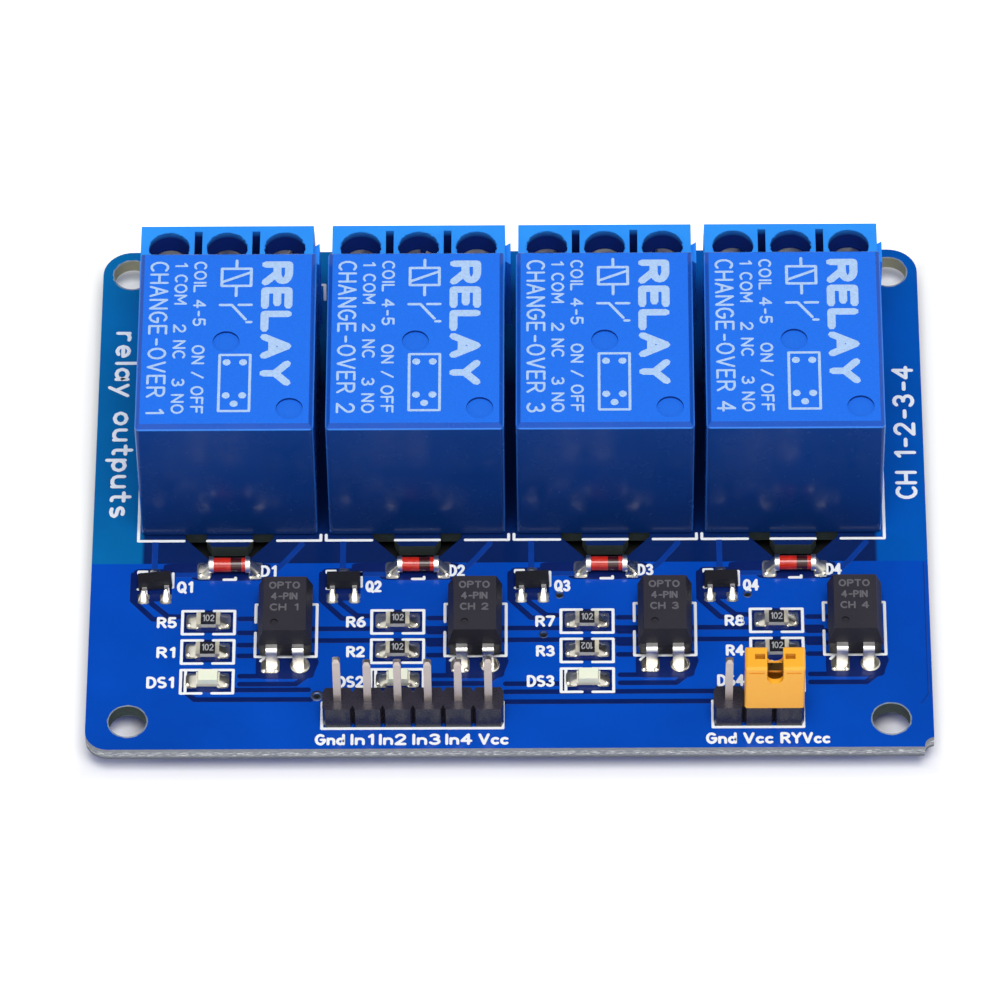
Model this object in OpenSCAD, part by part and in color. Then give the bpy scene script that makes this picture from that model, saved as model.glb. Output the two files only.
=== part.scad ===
// Four-channel relay board: four sealed relays with their screw terminals behind them,
// and an opto-isolated driver for each relay in front. Sizes are in millimetres.
// X runs along the board, Y from the pin headers to the screw terminals, Z up.
// The origin is the middle of the footprint, at the plane that the pin tips rest on.

/* [Board] */

// Thickness of the glass-epoxy board
board_thickness = 1.3; // [0.8:0.1:2.4]
// How far the pin tips stand out below the board
pin_drop = 1.8; // [1.2:0.1:3]
// Board left free beside the outer channels
side_margin = 3.55; // [3:0.05:8]
// Shift of the channel row from the board's middle
channel_shift = 0.15; // [0:0.05:0.4]
// Diameter of the mounting holes
hole_d = 3.2; // [2.2:0.1:3.4]
// Front mounting holes, in from the side edges
front_hole_side = 3.55; // [3:0.05:4]
// Front mounting holes, in from the front edge
front_hole_inset = 2.95; // [2.7:0.05:4]
// Back mounting holes, in from both edges, which is also the back corner radius
back_hole_inset = 2.55; // [2.3:0.05:3]
// Radius of the front left corner
front_corner_r = 1.95; // [0.5:0.05:3]
// Radius of the routing notch at the front right corner
corner_notch_r = 0.9; // [0.5:0.05:1.2]
// Width of the milled isolation slots
slot_width = 1.3; // [0.8:0.1:1.5]
// Diameter of the tinned vias
via_d = 0.5; // [0.3:0.05:0.8]

/* [Relays] */

// Width of a relay, along X
relay_width = 15.1; // [15:0.1:20]
// Length of a relay, along Y
relay_length = 19.3; // [18.9:0.1:24]
// Height of a relay above the board
relay_height = 14.95; // [14.7:0.05:19]
// Gap between neighbouring relays
relay_side_gap = 1.0; // [0.6:0.1:4]
// Wall of the relay cover
relay_wall = 0.85; // [0.6:0.05:1]
// Bevel round the top of the relay cover
relay_bevel = 0.4; // [0.1:0.05:0.6]
// Standoff of the relay cover above the board
relay_standoff = 0.2; // [0.1:0.05:0.5]
// Thickness of the relay base plate
relay_base_t = 1.8; // [1.2:0.1:2.2]
// Width across the coil pins, and across the outer contact pins
relay_pin_span = 12.0; // [11:0.1:12.2]
// Diameter of the recesses moulded in the relay's top
recess_d = 2.3; // [1:0.1:3]
// Opening angle of the relay armature
armature_lift = 3.5; // [2:0.1:4]

/* [Screw terminals] */

// Pitch of the terminal poles
pole_pitch = 5.0; // [5:0.01:6.5]
// Depth of a terminal block, along Y
terminal_depth = 8.0; // [7.8:0.1:10]
// Height of a terminal block above the board
terminal_height = 10.0; // [9.6:0.1:13]
// Back of the terminal blocks, in from the back edge
terminal_inset = 3.95; // [0.5:0.05:6]
// Gap between the terminal blocks and the relays
terminal_gap = 0.35; // [0.2:0.05:3]
// Diameter of the screwdriver wells
well_d = 3.6; // [3.4:0.05:4]
// Diameter of the screw heads
head_d = 3.3; // [2.8:0.05:3.35]
// Depth of the screw heads below the top of the block
head_depth = 2.0; // [1.6:0.1:2.2]
// Diameter of the screw shanks
shank_d = 2.4; // [2:0.1:2.5]
// Travel of the rising clamps
clamp_travel = 1.85; // [1:0.05:1.9]

/* [Drivers] */

// Depth of the zone between the relays and the pin headers
driver_zone = 18.2; // [18:0.1:26]
// Pin headers, in from the front edge
header_inset = 2.22; // [1:0.01:5]
// Pitch of the header pins
pin_pitch = 2.54; // [2.54:0.01:3.2]
// Side of a square header pin
pin_side = 0.64; // [0.5:0.02:0.7]
// Height of the header pins above the board
pin_height = 7.85; // [7:0.05:12]
// Width and depth of a header cell
header_cell = 2.3; // [2.3:0.02:2.54]
// Height of the header bodies
header_height = 2.54; // [2:0.02:3.5]
// Height of the jumper cap
jumper_height = 5.5; // [5:0.1:5.7]
// Length of an optocoupler, along Y
opto_length = 6.4; // [5.6:0.1:7]
// Width of an optocoupler
opto_width = 4.6; // [4.2:0.1:5.2]
// Height of an optocoupler above the board
opto_height = 3.6; // [3:0.1:4.5]

/* [Hidden] */

$fn = 32;
channels = 4;
poles = 3;
terminal_width = poles * pole_pitch;
channel_pitch = max(relay_width, terminal_width) + relay_side_gap;

board_length = channels * channel_pitch + 2 * side_margin;
header_depth = header_cell;
board_depth = terminal_inset + terminal_depth + terminal_gap + relay_length
    + driver_zone + header_depth + header_inset;

z_under = pin_drop;
z_top = pin_drop + board_thickness;
y_back = board_depth / 2;
y_front = -board_depth / 2;
x_side = board_length / 2;

terminal_y = y_back - terminal_inset - terminal_depth;
relay_y = terminal_y - terminal_gap - relay_length / 2;
relay_front = relay_y - relay_length / 2;
header_y = y_front + header_inset + header_depth / 2;

// Places of the driver parts, from the channel's middle and the relays' front
diode_at = [0.1, relay_front - 3.72];
transistor_at = [-6.26, relay_front - 5.25];
opto_at = [5.0, relay_front - 10.05];
chip_x = -1.6;
chip_rows = [relay_front - 9.25, relay_front - 12.38, relay_front - 15.51];
transistor_turn = [6, 1, 3, 1.5];

header_6_x = channel_x(2) - 0.18;
header_3_x = channel_x(4) - 3.28;

function channel_x(i) = (i - (channels + 1) / 2) * channel_pitch + channel_shift;
// How far each terminal block stands from the middle of its channel
block_shift = [-0.4, 0.08, 0.08, 0.08];
function block_x(i) = channel_x(i) + block_shift[(i - 1) % 4];
function pole_x(n) = block_x(ceil(n / poles))
    + ((n - 1) % poles - (poles - 1) / 2) * pole_pitch;
function header_pin_x(count, k) = (k - (count - 1) / 2) * pin_pitch;

// ---- helpers ----

module at_channel(i) translate([channel_x(i), 0, z_top]) children();

module each_channel() for (i = [1:channels]) at_channel(i) children();

module box(size, at = [0, 0, 0]) translate(at)
    translate([-size[0] / 2, -size[1] / 2, 0]) cube(size);

// A flat rectangle with round corners, about the origin
module round_rect(w, d, r) {
    square([w - 2 * r, d], center = true);
    square([w, d - 2 * r], center = true);
    for (x = [-1, 1], y = [-1, 1])
        translate([x * (w / 2 - r), y * (d / 2 - r)]) circle(r);
}

// A moulded block whose four sides lean in from bottom size to top size
module drafted(w0, d0, w1, d1, h) intersection() {
    rotate([90, 0, 0]) linear_extrude(max(d0, d1), center = true)
        polygon([[-w0 / 2, 0], [w0 / 2, 0], [w1 / 2, h], [-w1 / 2, h]]);
    rotate([90, 0, 90]) linear_extrude(max(w0, w1), center = true)
        polygon([[-d0 / 2, 0], [d0 / 2, 0], [d1 / 2, h], [-d1 / 2, h]]);
}

// A square pin with tapered ends, from z0 to z1
module pin(side, z0, z1, taper = 0.3) {
    translate([0, 0, z0 + taper]) box([side, side, z1 - z0 - 2 * taper]);
    translate([0, 0, z1 - taper]) drafted(side, side, side / 2, side / 2, taper);
    translate([0, 0, z0 + taper]) mirror([0, 0, 1]) drafted(side, side, side / 2, side / 2, taper);
}

// A strip bent down at its outer end, in the YZ plane, as thick as t
module bent_strip(reach, drop, t, r, w) rotate([90, 0, 90]) linear_extrude(w, center = true) {
    translate([0, -t]) square([reach - r, t]);
    translate([reach - t, -drop]) square([t, drop - r]);
    translate([reach - r, -r]) intersection() {
        difference() { circle(r); if (r > t) circle(r - t); }
        square(r);
    }
}

// ---- board ----

// Pins under one relay as [x, y, width, depth, hole diameter]
coil_pin = [0.6, 0.6, 1.0];
contact_pin = [0.9, 0.5, 1.3];
terminal_pin = [0.8, 0.6, 1.4];
opto_pin = [0.5, 0.26, 0.9];
header_pin = [pin_side, pin_side, pin_side + 0.36];
coil_pin_y = -relay_length / 2 + 4.4;
common_y = -relay_length / 2 + 2.4;
contact_y = relay_length / 2 - 2.4;
relay_pin_sets = [
    concat([0, common_y], contact_pin),
    for (x = [-1, 1]) concat([x * relay_pin_span / 2, coil_pin_y], coil_pin),
    for (x = [-1, 1]) concat([x * relay_pin_span / 2, contact_y], contact_pin)
];
terminal_pin_y = 1.4;
opto_row = opto_length / 2 + 0.61;
opto_lead_x = 1.27;
front_hole_x = x_side - front_hole_side;
front_hole_y = y_front + front_hole_inset;
back_hole_x = x_side - back_hole_inset;
back_hole_y = y_back - back_hole_inset;
vias = [[-4.01, -6.6], [-3.93, -6.6], [-5.3, -10.8], [-8.35, -17.2]];
via_channels = [4, 3, 3, 2];

// Every leaded pin of the board as [x, y, width, depth, hole diameter]
pin_holes = [
    for (i = [1:channels], p = relay_pin_sets)
        [channel_x(i) + p[0], relay_y + p[1], p[2], p[3], p[4]],
    for (n = [1:channels * poles])
        concat([pole_x(n), terminal_y + terminal_pin_y], terminal_pin),
    for (i = [1:channels], x = [-1, 1], y = [-1, 1])
        concat([channel_x(i) + opto_at[0] + x * opto_lead_x, opto_at[1] + y * opto_row], opto_pin),
    for (k = [0:5]) concat([header_6_x + header_pin_x(6, k), header_y], header_pin),
    for (k = [0:2]) concat([header_3_x + header_pin_x(3, k), header_y], header_pin)
];

module board_outline() difference() {
    union() {
        translate([-x_side, y_front + front_corner_r])
            square([board_length, board_depth - front_corner_r - back_hole_inset]);
        translate([-x_side + front_corner_r, y_front])
            square([board_length - front_corner_r, front_corner_r]);
        translate([-x_side + front_corner_r, y_front + front_corner_r]) circle(front_corner_r);
        for (x = [-1, 1]) translate([x * back_hole_x, back_hole_y]) circle(back_hole_inset);
        translate([-back_hole_x, back_hole_y]) square([2 * back_hole_x, back_hole_inset]);
    }
    translate([x_side + 0.1, y_front + 0.1]) circle(corner_notch_r);
}

// The slot that keeps the switched contact's pin apart from the driver side
module isolation_slot() difference() {
    polygon([[-3.8, 0.6], [3.8, 0.6], [3.8, 0], [1.8, -2.2], [-1.8, -2.2], [-3.8, 0]]);
    polygon([[-3.8 + 1.4 * slot_width, 0.7], [3.8 - 1.4 * slot_width, 0.7], [3.8 - 1.4 * slot_width, 0],
        [1.55, -2.2 + slot_width], [-1.55, -2.2 + slot_width], [-3.8 + 1.4 * slot_width, 0]]);
}

module board() color("royalblue") translate([0, 0, z_under]) linear_extrude(board_thickness)
    difference() {
        board_outline();
        for (x = [-1, 1]) {
            translate([x * front_hole_x, front_hole_y]) circle(d = hole_d);
            translate([x * back_hole_x, back_hole_y]) circle(d = hole_d);
        }
        for (i = [1:channels]) translate([channel_x(i), relay_front - 0.3]) isolation_slot();
        for (h = pin_holes) translate([h[0], h[1]]) circle(d = h[4]);
        for (k = [0:3]) translate([channel_x(via_channels[k]) + vias[k][0], relay_front + vias[k][1]])
            circle(d = via_d);
    }

// Soldered cones round the pins under the board
joint_h = 1.1;
module solder_joints() color("silver") difference() {
    for (h = pin_holes) translate([h[0], h[1], z_under - joint_h])
        cylinder(h = joint_h, d1 = h[4] * 0.8, d2 = h[4] + 0.8);
    for (h = pin_holes) translate([h[0], h[1], -1])
        box([h[2] + 0.02, h[3] + 0.02, z_under + 2]);
}

// ---- relays, about the middle of the relay on the board's top ----

module at_relay(i) at_channel(i) translate([0, relay_y, 0]) children();

relay_inner_w = relay_width - 2 * relay_wall;
relay_inner_l = relay_length - 2 * relay_wall;
relay_roof = relay_height - relay_wall;
base_top = relay_standoff + relay_base_t;
yoke_y = common_y + contact_pin[1] / 2;
yoke_t = 1.1;
armature_t = 0.9;
blade_t = 0.25;
carrier_t = 0.4;
rivet_r = 1.2;
rivet_h = 0.95;
contact_gap = 0.05;
// The contacts are stacked up to the roof, so their height sets where the yoke ends
yoke_top = relay_roof - 0.16 - carrier_t - 0.3 - contact_gap - rivet_h / 2 - 0.06
    - (contact_y - yoke_y + rivet_r) * sin(armature_lift)
    - (armature_t + blade_t / 2) * cos(armature_lift);
coil_y = yoke_y + yoke_t + 5.4;
pole_top = yoke_top;

module relay_case(i) color("dodgerblue") at_relay(i) difference() {
    translate([0, 0, relay_standoff]) intersection() {
        linear_extrude(relay_height - relay_standoff)
            round_rect(relay_width, relay_length, 0.4);
        bevelled(relay_width, relay_length, relay_height - relay_standoff, relay_bevel);
    }
    box([relay_inner_w, relay_inner_l, relay_roof]);
    for (p = [[0, -0.35], [relay_width / 2 - 2.05, -relay_length / 2 + 2.0]])
        translate([p[0], p[1], relay_height - 0.25]) cylinder(h = 1, d = recess_d);
}

// A block whose top edges are bevelled
module bevelled(w, d, h, c) intersection() {
    rotate([90, 0, 0]) linear_extrude(d, center = true)
        polygon([[-w / 2, 0], [w / 2, 0], [w / 2, h - c], [w / 2 - c, h], [c - w / 2, h], [-w / 2, h - c]]);
    rotate([90, 0, 90]) linear_extrude(w, center = true)
        polygon([[-d / 2, 0], [d / 2, 0], [d / 2, h - c], [d / 2 - c, h], [c - d / 2, h], [-d / 2, h - c]]);
}

module relay_bases() color("midnightblue") each_channel() translate([0, relay_y, 0]) difference() {
    union() {
        box([relay_inner_w - 0.06, relay_inner_l - 0.06, relay_base_t], [0, 0, relay_standoff]);
        for (x = [-1, 1], y = [-1, 1])
            box([1.2, 1.2, relay_standoff + 0.1], [x * (relay_inner_w / 2 - 1.2), y * (relay_inner_l / 2 - 5.5), 0]);
    }
    for (p = relay_pin_sets) box([p[2] + 0.1, p[3] + 0.1, 10], [p[0], p[1], -1]);
}

// The iron frame: an upright, the foot under the coil and the core with its pole face
module relay_yokes() color("gray") each_channel() translate([0, relay_y, 0]) {
    box([8.6, yoke_t, yoke_top - base_top], [0, yoke_y + yoke_t / 2, base_top]);
    difference() {
        box([8.6, coil_y - yoke_y + 2.2, yoke_t], [0, (coil_y + 2.2 + yoke_y) / 2, base_top]);
        translate([0, coil_y, 0]) cylinder(h = 20, d = 2.6);
    }
    translate([0, coil_y, base_top]) cylinder(h = pole_top - base_top, d = 2.6);
    translate([0, coil_y, base_top + yoke_t]) cylinder(h = pole_top - base_top - yoke_t, d = 3.6);
    translate([0, coil_y, pole_top - 0.7]) cylinder(h = 0.7, d = 6.4);
}

bobbin_z0 = base_top + yoke_t + 0.05;
bobbin_z1 = pole_top - 0.75;
module relay_bobbins() color("white") each_channel()
    translate([0, relay_y + coil_y, 0]) difference() {
        union() {
            for (z = [bobbin_z0, bobbin_z1 - 0.7]) translate([0, 0, z])
                linear_extrude(0.7) round_rect(10.2, 10, 2);
            translate([0, 0, bobbin_z0]) cylinder(h = bobbin_z1 - bobbin_z0, d = 5);
        }
        cylinder(h = 20, d = 3.7);
    }

module relay_windings() color("peru") each_channel()
    translate([0, relay_y + coil_y, bobbin_z0 + 0.75]) difference() {
        cylinder(h = bobbin_z1 - bobbin_z0 - 1.5, d = 9.4);
        translate([0, 0, -1]) cylinder(h = 20, d = 5.06);
    }

// The armature at rest: lifted off the pole about the yoke's upper edge, and carried
// by a blade that hooks down over the yoke
hook_drop = 2.4;
armature_l = coil_y - yoke_y + 3.2;
module relay_armature(i) color("silver") at_relay(i)
    translate([0, yoke_y, yoke_top + 0.06]) rotate([armature_lift, 0, 0]) {
        box([8.2, armature_l, armature_t], [0, armature_l / 2 + 0.06, 0]);
        box([4.2, contact_y - yoke_y + 1.6, blade_t],
            [0, (contact_y - yoke_y + 1.6) / 2 - 0.5, armature_t]);
        box([4.2, blade_t, hook_drop + armature_t + blade_t], [0, blade_t / 2 - 0.5, -hook_drop]);
        for (x = [-1, 1]) translate([x, 3.4, armature_t]) cylinder(h = 0.55, d = 1.2);
        translate([0, contact_y - yoke_y, armature_t + blade_t / 2 - rivet_h / 2])
            cylinder(h = rivet_h, r = rivet_r);
    }

// Height of the moving contact's middle, open and closed
function blade_z(a) = yoke_top + 0.06 + (contact_y - yoke_y) * sin(a) + (armature_t + blade_t / 2) * cos(a);
contact_open = blade_z(armature_lift);
contact_shut = blade_z(0);

// Coil pins, the common strip, and the two fixed contacts on their carriers
carrier_w = 2.2;
module relay_pins() color("gold") each_channel() translate([0, relay_y, 0]) {
    for (x = [-1, 1]) box([coil_pin[0], coil_pin[1], z_top + base_top + 1.2],
        [x * relay_pin_span / 2, coil_pin_y, -z_top]);
    // common: a pin that widens into a strip up the yoke's outer face
    box([contact_pin[0], contact_pin[1], z_top + base_top + 0.6], [0, common_y, -z_top]);
    box([4.2, contact_pin[1], yoke_top - base_top - hook_drop - 0.6], [0, common_y, base_top + 0.1]);
    // resting contact above the blade, working contact below it
    fixed_contact(-1, contact_open + rivet_h / 2 + rivet_r * sin(armature_lift) + contact_gap, 1);
    fixed_contact(1, contact_shut - rivet_h / 2 - contact_gap, -1);
}

// A contact whose face is at z, on an arm that reaches in from its pin at one side
module fixed_contact(side, z, up) {
    x = side * relay_pin_span / 2;
    arm_z = up > 0 ? z + 0.3 : z - 0.3 - carrier_t;
    box([contact_pin[0], contact_pin[1], z_top + base_top + 0.3], [x, contact_y, -z_top]);
    box([0.5, carrier_w, arm_z + carrier_t - base_top - 0.1], [x, contact_y, base_top + 0.1]);
    translate([(x - side * rivet_r) / 2, contact_y, arm_z])
        box([relay_pin_span / 2 + rivet_r, carrier_w, carrier_t]);
    translate([0, contact_y, up > 0 ? z : z - 0.35]) cylinder(h = 0.35, r = rivet_r - 0.1);
}

// ---- screw terminals, from the block's middle at its front face on the board ----

module at_terminal(i) translate([block_x(i), terminal_y, z_top]) children();
module at_pole(n) translate([pole_x(n), terminal_y, z_top]) children();

well_y = terminal_depth - 3.9;
head_top = terminal_height - head_depth;
head_h = 1.3;
head_base = head_top - head_h;
bar_t = 0.6;
cage_wall = 0.45;
cage_roof = 0.65;
cage_y = [well_y - 2.1, well_y + 2.1];
cage_z1 = head_base - 0.05 - clamp_travel;
bar_top = cage_z1 - cage_roof - 0.05;
cage_z0 = 0.85;
cage_w = 3.4;
chamber_w = cage_w + 0.2;
bar_w = cage_w - 2 * cage_wall - 0.2;
floor_t = 0.75;
wire_w = 3.2;
wire_z = 1.1;
key_y = well_y + 0.6;
slot_depth = 6.5;
slot_l = terminal_depth - 1.42 - 0.6 - 1.2;

module block_profile() polygon([
    [0, 0], [terminal_depth, 0], [terminal_depth, terminal_height * 0.62],
    [terminal_depth - 1.42, terminal_height], [0.8, terminal_height], [0, terminal_height - 1.2]]);

module terminal_housing(i) color("dodgerblue") at_terminal(i) difference() {
    union() {
        rotate([90, 0, 90]) linear_extrude(terminal_width - 0.04, center = true) block_profile();
        // dovetail key that locks the next block on
        translate([terminal_width / 2 - 0.1, key_y, 0]) linear_extrude(terminal_height - 1.6)
            polygon([[0, -0.8], [0.55, -1.2], [0.55, 1.2], [0, 0.8]]);
    }
    translate([-terminal_width / 2 - 0.1, key_y, -1]) linear_extrude(terminal_height - 0.2)
        polygon([[0, -0.9], [0.6, -1.3], [0.6, 1.3], [0, 0.9]]);
    for (k = [0:poles - 1]) translate([(k - (poles - 1) / 2) * pole_pitch, 0, 0]) {
        translate([0, well_y, head_base - 0.1]) cylinder(h = 9, d = well_d);
        // chamber of the rising clamp, room for the bar, and the wire entry
        box([chamber_w, cage_y[1] - cage_y[0] + 0.2, head_base + 0.05 - floor_t], [0, well_y, floor_t]);
        translate([0, (terminal_pin_y - bar_t / 2 - 0.1 + well_y) / 2, floor_t])
            box([bar_w + 0.2, well_y - terminal_pin_y + bar_t / 2 + 0.1, bar_top + 0.1 - floor_t]);
        box([terminal_pin[0] + 0.2, terminal_pin[1] + 0.2, floor_t + 2], [0, terminal_pin_y, -1]);
        box([wire_w, terminal_depth, bar_top + 0.3 - wire_z], [0, cage_y[1] + terminal_depth / 2, wire_z]);
        // flared mouth
        translate([0, terminal_depth - 0.55, (wire_z + bar_top + 0.3) / 2]) rotate([-90, 0, 0])
            drafted(wire_w, bar_top + 0.3 - wire_z, wire_w + 0.8, bar_top + 1.1 - wire_z, 0.56);
    }
    // slots moulded between the poles, closed at the back
    for (k = [1:poles - 1]) translate([(k - poles / 2) * pole_pitch, 0, 0])
        box([0.68, slot_l, slot_depth + 1], [0, slot_l / 2 + 1.2, terminal_height - slot_depth]);
}

module terminal_screw(n) color("silver") at_pole(n) translate([0, well_y, 0]) difference() {
    union() {
        translate([0, 0, bar_top + 0.02]) cylinder(h = head_base - bar_top, d = shank_d);
        translate([0, 0, head_base]) cylinder(h = head_h - 0.25, d = head_d);
        translate([0, 0, head_top - 0.25]) cylinder(h = 0.25, d1 = head_d, d2 = head_d - 0.5);
    }
    rotate(drive_turn(n)) {
        box([head_d + 1, 0.55, 1], [0, 0, head_top - 0.7]);
        box([0.55, 1.9, 1], [0, 0, head_top - 0.6]);
    }
}

// The drive slots stand as the driver left them
function drive_turn(n) = [35, -40, 60, 20, 75, -25, 50, 10, -60, 55, -15, 30][(n - 1) % 12];

module terminal_cage(n) color("silver") at_pole(n) translate([0, well_y, 0]) difference() {
    rotate([90, 0, 0]) linear_extrude(cage_y[1] - cage_y[0], center = true) difference() {
        translate([0, (cage_z0 + cage_z1) / 2]) round_rect(cage_w, cage_z1 - cage_z0, 0.5);
        translate([-cage_w / 2 + cage_wall, cage_z0 + cage_wall])
            square([cage_w - 2 * cage_wall, cage_z1 - cage_roof - cage_z0 - cage_wall]);
    }
    translate([0, 0, cage_z1 - 2]) cylinder(h = 4, d = shank_d + 0.1);
}

// The bar that the wire is clamped to, bent down to its pin
module terminal_bars() color("tan") for (n = [1:channels * poles]) at_pole(n) {
    translate([0, cage_y[1] - 0.3, bar_top]) mirror([0, 1, 0])
        bent_strip(cage_y[1] - 0.3 - terminal_pin_y + bar_t / 2, bar_top - floor_t - 0.05, bar_t, 0.9, bar_w);
    box([terminal_pin[0], terminal_pin[1], z_top + floor_t + 0.4], [0, terminal_pin_y, -z_top]);
}

// ---- driver parts ----

module each_driver(at) each_channel() translate([at[0], at[1], 0]) children();

opto_mid = opto_height / 2 + 0.15;
module optocoupler_bodies() color("dimgray") each_driver(opto_at) difference() {
    union() {
        translate([0, 0, opto_mid]) drafted(opto_width, opto_length, opto_width - 1.0,
            opto_length - 0.7, opto_height - opto_mid);
        translate([0, 0, opto_mid]) mirror([0, 0, 1])
            drafted(opto_width, opto_length, opto_width - 0.3, opto_length - 0.3, opto_mid - 0.35);
    }
    translate([-opto_width / 2 + 1.43, -opto_length / 2 + 1.25, opto_height - 0.2]) cylinder(h = 1, d = 0.65);
}

// Each lead leaves the body at mid height, bends down and narrows into its hole
lead_t = opto_pin[1];
lead_z = opto_mid + lead_t / 2;
module optocoupler_leads() color("silver") each_driver(opto_at) for (x = [-1, 1], y = [0, 1])
    mirror([0, y, 0]) translate([x * opto_lead_x, opto_length / 2, 0]) {
        translate([-x * 0.15, 0, lead_z])
            bent_strip(opto_row - opto_length / 2 + lead_t / 2, lead_z - 0.05, lead_t, 0.4, 0.95);
        box([opto_pin[0], opto_pin[1], z_top + 0.6],
            [0, opto_row - opto_length / 2, z_under - joint_h - z_top]);
    }

module diode_glasses() color("orangered") each_driver(diode_at) translate([0, 0, 0.75])
    rotate([0, 90, 0]) cylinder(h = 2.7, d = 1.22, center = true);

module diode_caps() color("silver") each_driver(diode_at) translate([0, 0, 0.75])
    for (x = [-1, 1]) translate([x * 1.55, 0, 0]) rotate([0, 90, 0]) cylinder(h = 0.4, d = 1.42, center = true);

module at_transistor(i) at_channel(i) translate([transistor_at[0], transistor_at[1], 0])
    rotate(transistor_turn[(i - 1) % 4]) children();

module transistor_bodies() color("black") for (i = [1:channels]) at_transistor(i) {
    translate([0, 0, 0.55]) drafted(2.9, 1.3, 2.75, 1.05, 0.55);
    translate([0, 0, 0.55]) mirror([0, 0, 1]) drafted(2.9, 1.3, 2.8, 1.15, 0.47);
}

module transistor_leads() color("silver") for (i = [1:channels]) at_transistor(i) {
    for (x = [-0.95, 0.95]) translate([x, -0.65, 0]) gull_lead();
    mirror([0, 1, 0]) translate([0, -0.65, 0]) gull_lead();
}

module gull_lead() {
    box([0.42, 0.32, 0.13], [0, -0.16, 0.5]);
    box([0.42, 0.13, 0.55], [0, -0.26, 0.08]);
    box([0.42, 0.45, 0.13], [0, -0.42, 0.03]);
}

module each_resistor() for (k = [0, 1]) each_driver([chip_x, chip_rows[k]]) children();

module resistor_chips() color("black") each_resistor() translate([0, 0, 0.03]) {
    box([1.98, 1.25, 0.45]);
    box([1.28, 1.2, 0.06], [0, 0, 0.45]);
}

module resistor_caps() color("silver") each_resistor() for (x = [-1, 1]) difference() {
    box([0.37, 1.29, 0.5], [x * 0.83, 0, 0.01]);
    box([1.98, 1.25, 0.45], [0, 0, 0.03]);
}

led_at = [chip_x + 0.1, chip_rows[2]];
module led_bases() color("beige") each_driver(led_at) box([2.0, 1.25, 0.35], [0, 0, 0.03]);

module led_lenses() color("ivory") each_driver(led_at)
    translate([0, 0, 0.38]) drafted(1.8, 1.25, 1.6, 1.15, 0.5);

// ---- headers and jumper ----

// A row of cells with chamfered corners, drilled for the pins
module header_body(count) color([0.15, 0.15, 0.16]) difference() {
    for (k = [0:count - 1]) translate([header_pin_x(count, k), header_y, z_top + 0.02]) {
        linear_extrude(header_height - 0.02) cell_outline();
    }
    for (k = [0:count - 1]) translate([header_pin_x(count, k), header_y, 0])
        box([pin_side + 0.02, pin_side + 0.02, 20]);
}

module cell_outline() {
    a = pin_pitch / 2;
    b = header_cell / 2;
    c = 0.22;
    d = 0.45;
    polygon([[-a, d - b], [c - a, -b], [a - c, -b], [a, d - b],
        [a, b - d], [a - c, b], [c - a, b], [-a, b - d]]);
}

module header_6_body() translate([header_6_x, 0, 0]) header_body(6);
module header_3_body() translate([header_3_x, 0, 0]) header_body(3);

module header_pins() color("lightgray") {
    for (k = [0:5]) translate([header_6_x + header_pin_x(6, k), header_y, 0])
        pin(pin_side, 0, z_top + pin_height + (k % 5 == 0 ? 0.35 : 0));
    for (k = [0:2]) translate([header_3_x + header_pin_x(3, k), header_y, 0])
        pin(pin_side, 0, z_top + pin_height + (k == 0 ? 0.1 : -0.25));
}

jumper_w = 2 * pin_pitch - 0.06;
jumper_d = header_cell + 0.1;
jumper_x = header_3_x + pin_pitch / 2;
jumper_wall = 0.5;
notch_r = 0.68;
strap_top = jumper_height - 1.3;
strap_w = 0.8;
sleeve_y = pin_side / 2 + 0.11;
sleeve_t = 0.2;
jumper_pins_up = pin_height - 0.25 - header_height;

module at_jumper() translate([jumper_x, header_y, z_top + header_height + 0.05]) children();

// A shunt block: two pin sockets, a slot across its top and a strap seen through it
module jumper_cap() color("orange") at_jumper() difference() {
    intersection() {
        linear_extrude(jumper_height) round_rect(jumper_w, jumper_d, 0.25);
        bevelled(jumper_w, jumper_d, jumper_height, 0.2);
    }
    // room for the clip, open below, and for the pin tips above it
    box([jumper_w - 2 * jumper_wall, jumper_d - 2 * jumper_wall, strap_top + 0.15], [0, 0, -0.1]);
    for (x = [-1, 1]) {
        box([pin_side + 0.2, pin_side + 0.2, jumper_pins_up + 0.05], [x * pin_pitch / 2, 0, 0]);
        box([pin_side + 0.2, 0.55, 4], [x * pin_pitch / 2, 0.1, strap_top]);
        for (y = [-1, 1]) box([1.25, 0.24, 0.14], [x * 1.55, y * jumper_d / 2, jumper_height - 0.72]);
    }
    // slot with a round floor
    rotate([90, 0, 0]) linear_extrude(jumper_d + 1, center = true) {
        translate([-notch_r, jumper_height - 1.4]) square([2 * notch_r, 2]);
        translate([0, jumper_height - 1.4]) circle(notch_r);
    }
}

// Two spring sleeves joined by a strap
module jumper_clip() color("tan") at_jumper() {
    box([pin_pitch - 0.9, strap_w, 0.25], [0, 0, strap_top - 0.25]);
    for (x = [-1, 1]) {
        for (y = [-1, 1]) box([1.1, sleeve_t, strap_top - 0.4],
            [x * pin_pitch / 2, y * (sleeve_y + sleeve_t / 2), 0.4]);
        // the sleeve's inner wall, which turns over into the strap
        box([0.2, 2 * (sleeve_y + sleeve_t), strap_top - 0.4], [x * (pin_pitch / 2 - 0.55), 0, 0.4]);
    }
}

// ---- nodes ----

board();
solder_joints();
for (i = [1:channels]) {
    relay_case(i);
    relay_armature(i);
    terminal_housing(i);
}
relay_bases();
relay_yokes();
relay_bobbins();
relay_windings();
relay_pins();
for (n = [1:channels * poles]) {
    terminal_screw(n);
    terminal_cage(n);
}
terminal_bars();
optocoupler_bodies();
optocoupler_leads();
diode_glasses();
diode_caps();
transistor_bodies();
transistor_leads();
resistor_chips();
resistor_caps();
led_bases();
led_lenses();
header_6_body();
header_3_body();
header_pins();
jumper_cap();
jumper_clip();
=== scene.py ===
import math

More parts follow.
